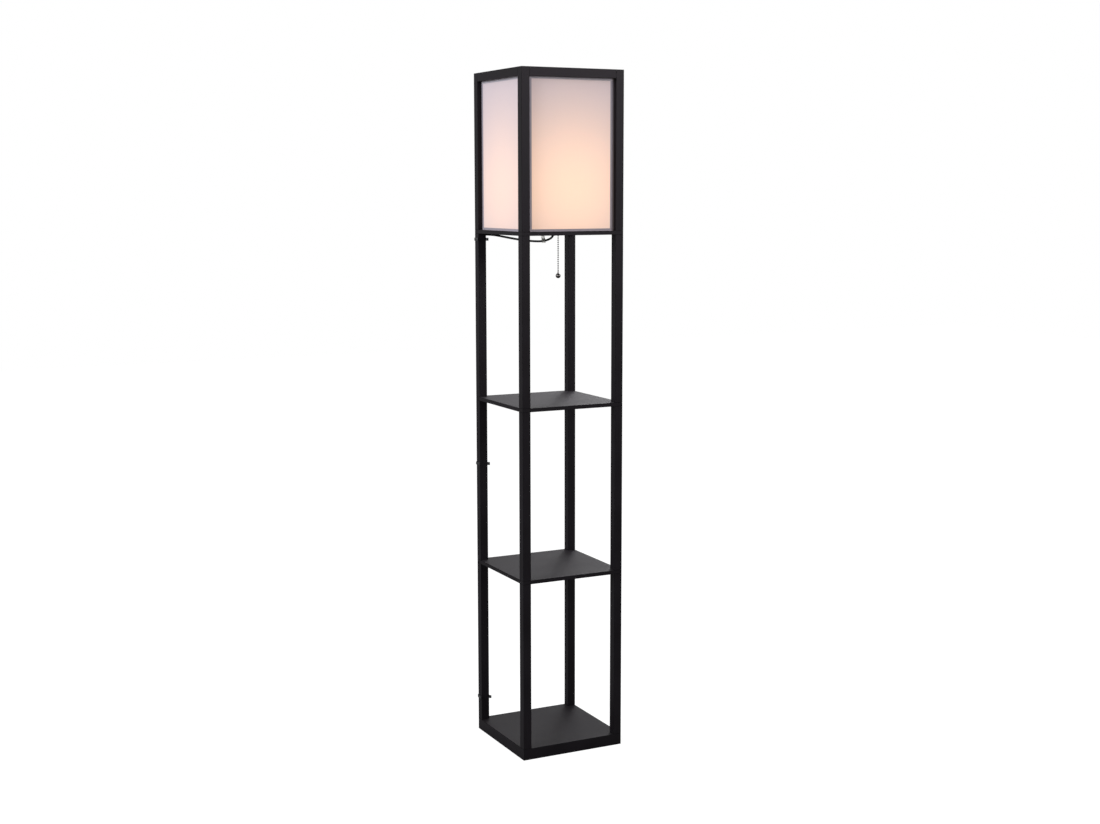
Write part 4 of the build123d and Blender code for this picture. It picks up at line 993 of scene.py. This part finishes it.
bladeShape = {
    "apart": 6.35,  # mm, each blade from the plug's middle
    "thickness": 1.5, "edge": 0.2, "hole": (125.0, 6.0), "holeRadius": 1.6,
    "outline": [(105.5, 2.85), (105.5, 9.15), (128.4, 9.15), (129.5, 8.6), (130.0, 7.6), (130.0, 4.4),
                (129.5, 3.4), (128.4, 2.85)],
}
bladeLoops = [bladeShape["outline"], arc(bladeShape["hole"], bladeShape["holeRadius"], 0, 345, 23)]
blades = joinedMesh("plugBlades", [
    flatShape("plugBlade", bladeLoops, bladeShape["thickness"], bladeShape["edge"],
              placed((0, plugShape["centre"][0] + side * bladeShape["apart"], 0), (1, 0, 0), (0, 0, 1)))
    for side in (-1, 1)])
prongs = newPiece("plugBlades", blades, [drawnBrass], "lamp", ("plug_blades",))

# The tie round the hank: a band bent round four corners, its sections as places along X and depths inward
tieShape = {
    "bendCentres": ((145.95, 3.06), (159.05, 3.06), (159.05, 8.86), (145.95, 8.86)), "bend": 3.0,
    "middle": (152.5, 5.96),
    "sections": ((-29.0, 0.1), (-28.9, 0.0), (-19.1, 0.0), (-19.0, 0.1), (-19.0, 0.65), (-29.0, 0.65)),
}


def tieBand():
    path, points, (middleY, middleZ) = [], [], tieShape["middle"]
    for k, centre in enumerate(tieShape["bendCentres"]):
        path += arc(centre, tieShape["bend"], 180 + 90 * k, 270 + 90 * k, 6)
    for x, inward in tieShape["sections"]:
        for y, z in path:
            way = Vector((middleY - y, middleZ - z)).normalized()
            points.append((x, y + way.x * inward, z + way.y * inward))
    mesh = meshOf("hankTie", points, ringFaces(len(tieShape["sections"]), len(path)))
    return newPiece("hankTie", mesh, [loopNylon], "lamp", ("hank_tie",))


tie = tieBand()
print("plug, clips and tie made")

# Floor, backdrop and light. What the eye sees of the floor and the backdrop, directly or through the nylon
# clip, is lifted to white; what lights the lamp is not.
stage = {
    "floor": "#989898", "reach": 9000, "floorLift": 0.86, "worldStrength": 0.5, "white": (1, 1, 1, 1),
}
softboxes = {
    "keySoftbox": {"place": (-4.0, -0.8, 2.6), "target": (0, 0, 1.6), "size": (2.0, 2.0), "power": 68.5,
                   "colour": (0.95, 0.97, 1.0), "grid": 120},
    "frontSoftbox": {"place": (1.5, -2.6, 2.4), "target": (0, 0, 1.7), "size": (1.5, 1.3), "power": 7.9,
                     "colour": (1.0, 0.985, 1.0), "grid": 70},
    "backSoftbox": {"place": (2.4, 2.6, 2.6), "target": (0, 0, 1.75), "size": (1.3, 1.3), "power": 7.0,
                    "colour": (0.98, 0.98, 1.0), "grid": 60},
}


def straightRay(tree):
    rays = addNode(tree, "ShaderNodeLightPath").outputs
    inputs = {0: rays["Is Camera Ray"], 1: rays["Is Transmission Ray"]}
    return addNode(tree, "ShaderNodeMath", inputs, operation="MAXIMUM").outputs[0]


def softbox(name, box):
    data = bpy.data.lights.new(name, "AREA")
    data.shape = "RECTANGLE"
    data.size, data.size_y = box["size"]
    data.energy = box["power"]
    data.color = box["colour"]
    data.spread = math.radians(box["grid"])  # the honeycomb grid on the box lets light out this wide
    light = bpy.data.objects.new(name, data)
    light.location = box["place"]
    light.rotation_mode = "QUATERNION"
    light.rotation_quaternion = (Vector(box["target"]) - Vector(box["place"])).to_track_quat("-Z", "Y")
    scene.collection.objects.link(light)


reach = stage["reach"]
corners = [(-reach, -reach, 0), (reach, -reach, 0), (reach, reach, 0), (-reach, reach, 0)]
floorMesh = meshOf("studioFloor", corners, [(0, 1, 2, 3)], smooth=False)
floor = bpy.data.objects.new("studioFloor", floorMesh)
scene.collection.objects.link(floor)
# Pale studio floor, rolled out matt
floorMaterial, tree, shader, place = newMaterial("paleStudioFloor", {
    "Base Color": stage["floor"], "Roughness": 0.9, "Specular IOR Level": 0.0,
    "Emission Color": stage["white"],
})
lift = addNode(tree, "ShaderNodeMath", {0: straightRay(tree), 1: stage["floorLift"]}, operation="MULTIPLY")
tree.links.new(lift.outputs[0], shader.inputs["Emission Strength"])
floorMesh.materials.append(floorMaterial)

world = bpy.data.worlds.new("studioWorld")
scene.world = world
world.use_nodes = True
tree = world.node_tree
background = tree.nodes["Background"]
background.inputs["Color"].default_value = stage["white"]
strength = addNode(tree, "ShaderNodeMapRange", {0: straightRay(tree), 3: stage["worldStrength"]})
tree.links.new(strength.outputs[0], background.inputs["Strength"])

for name, box in softboxes.items():
    softbox(name, box)
print("stage set")
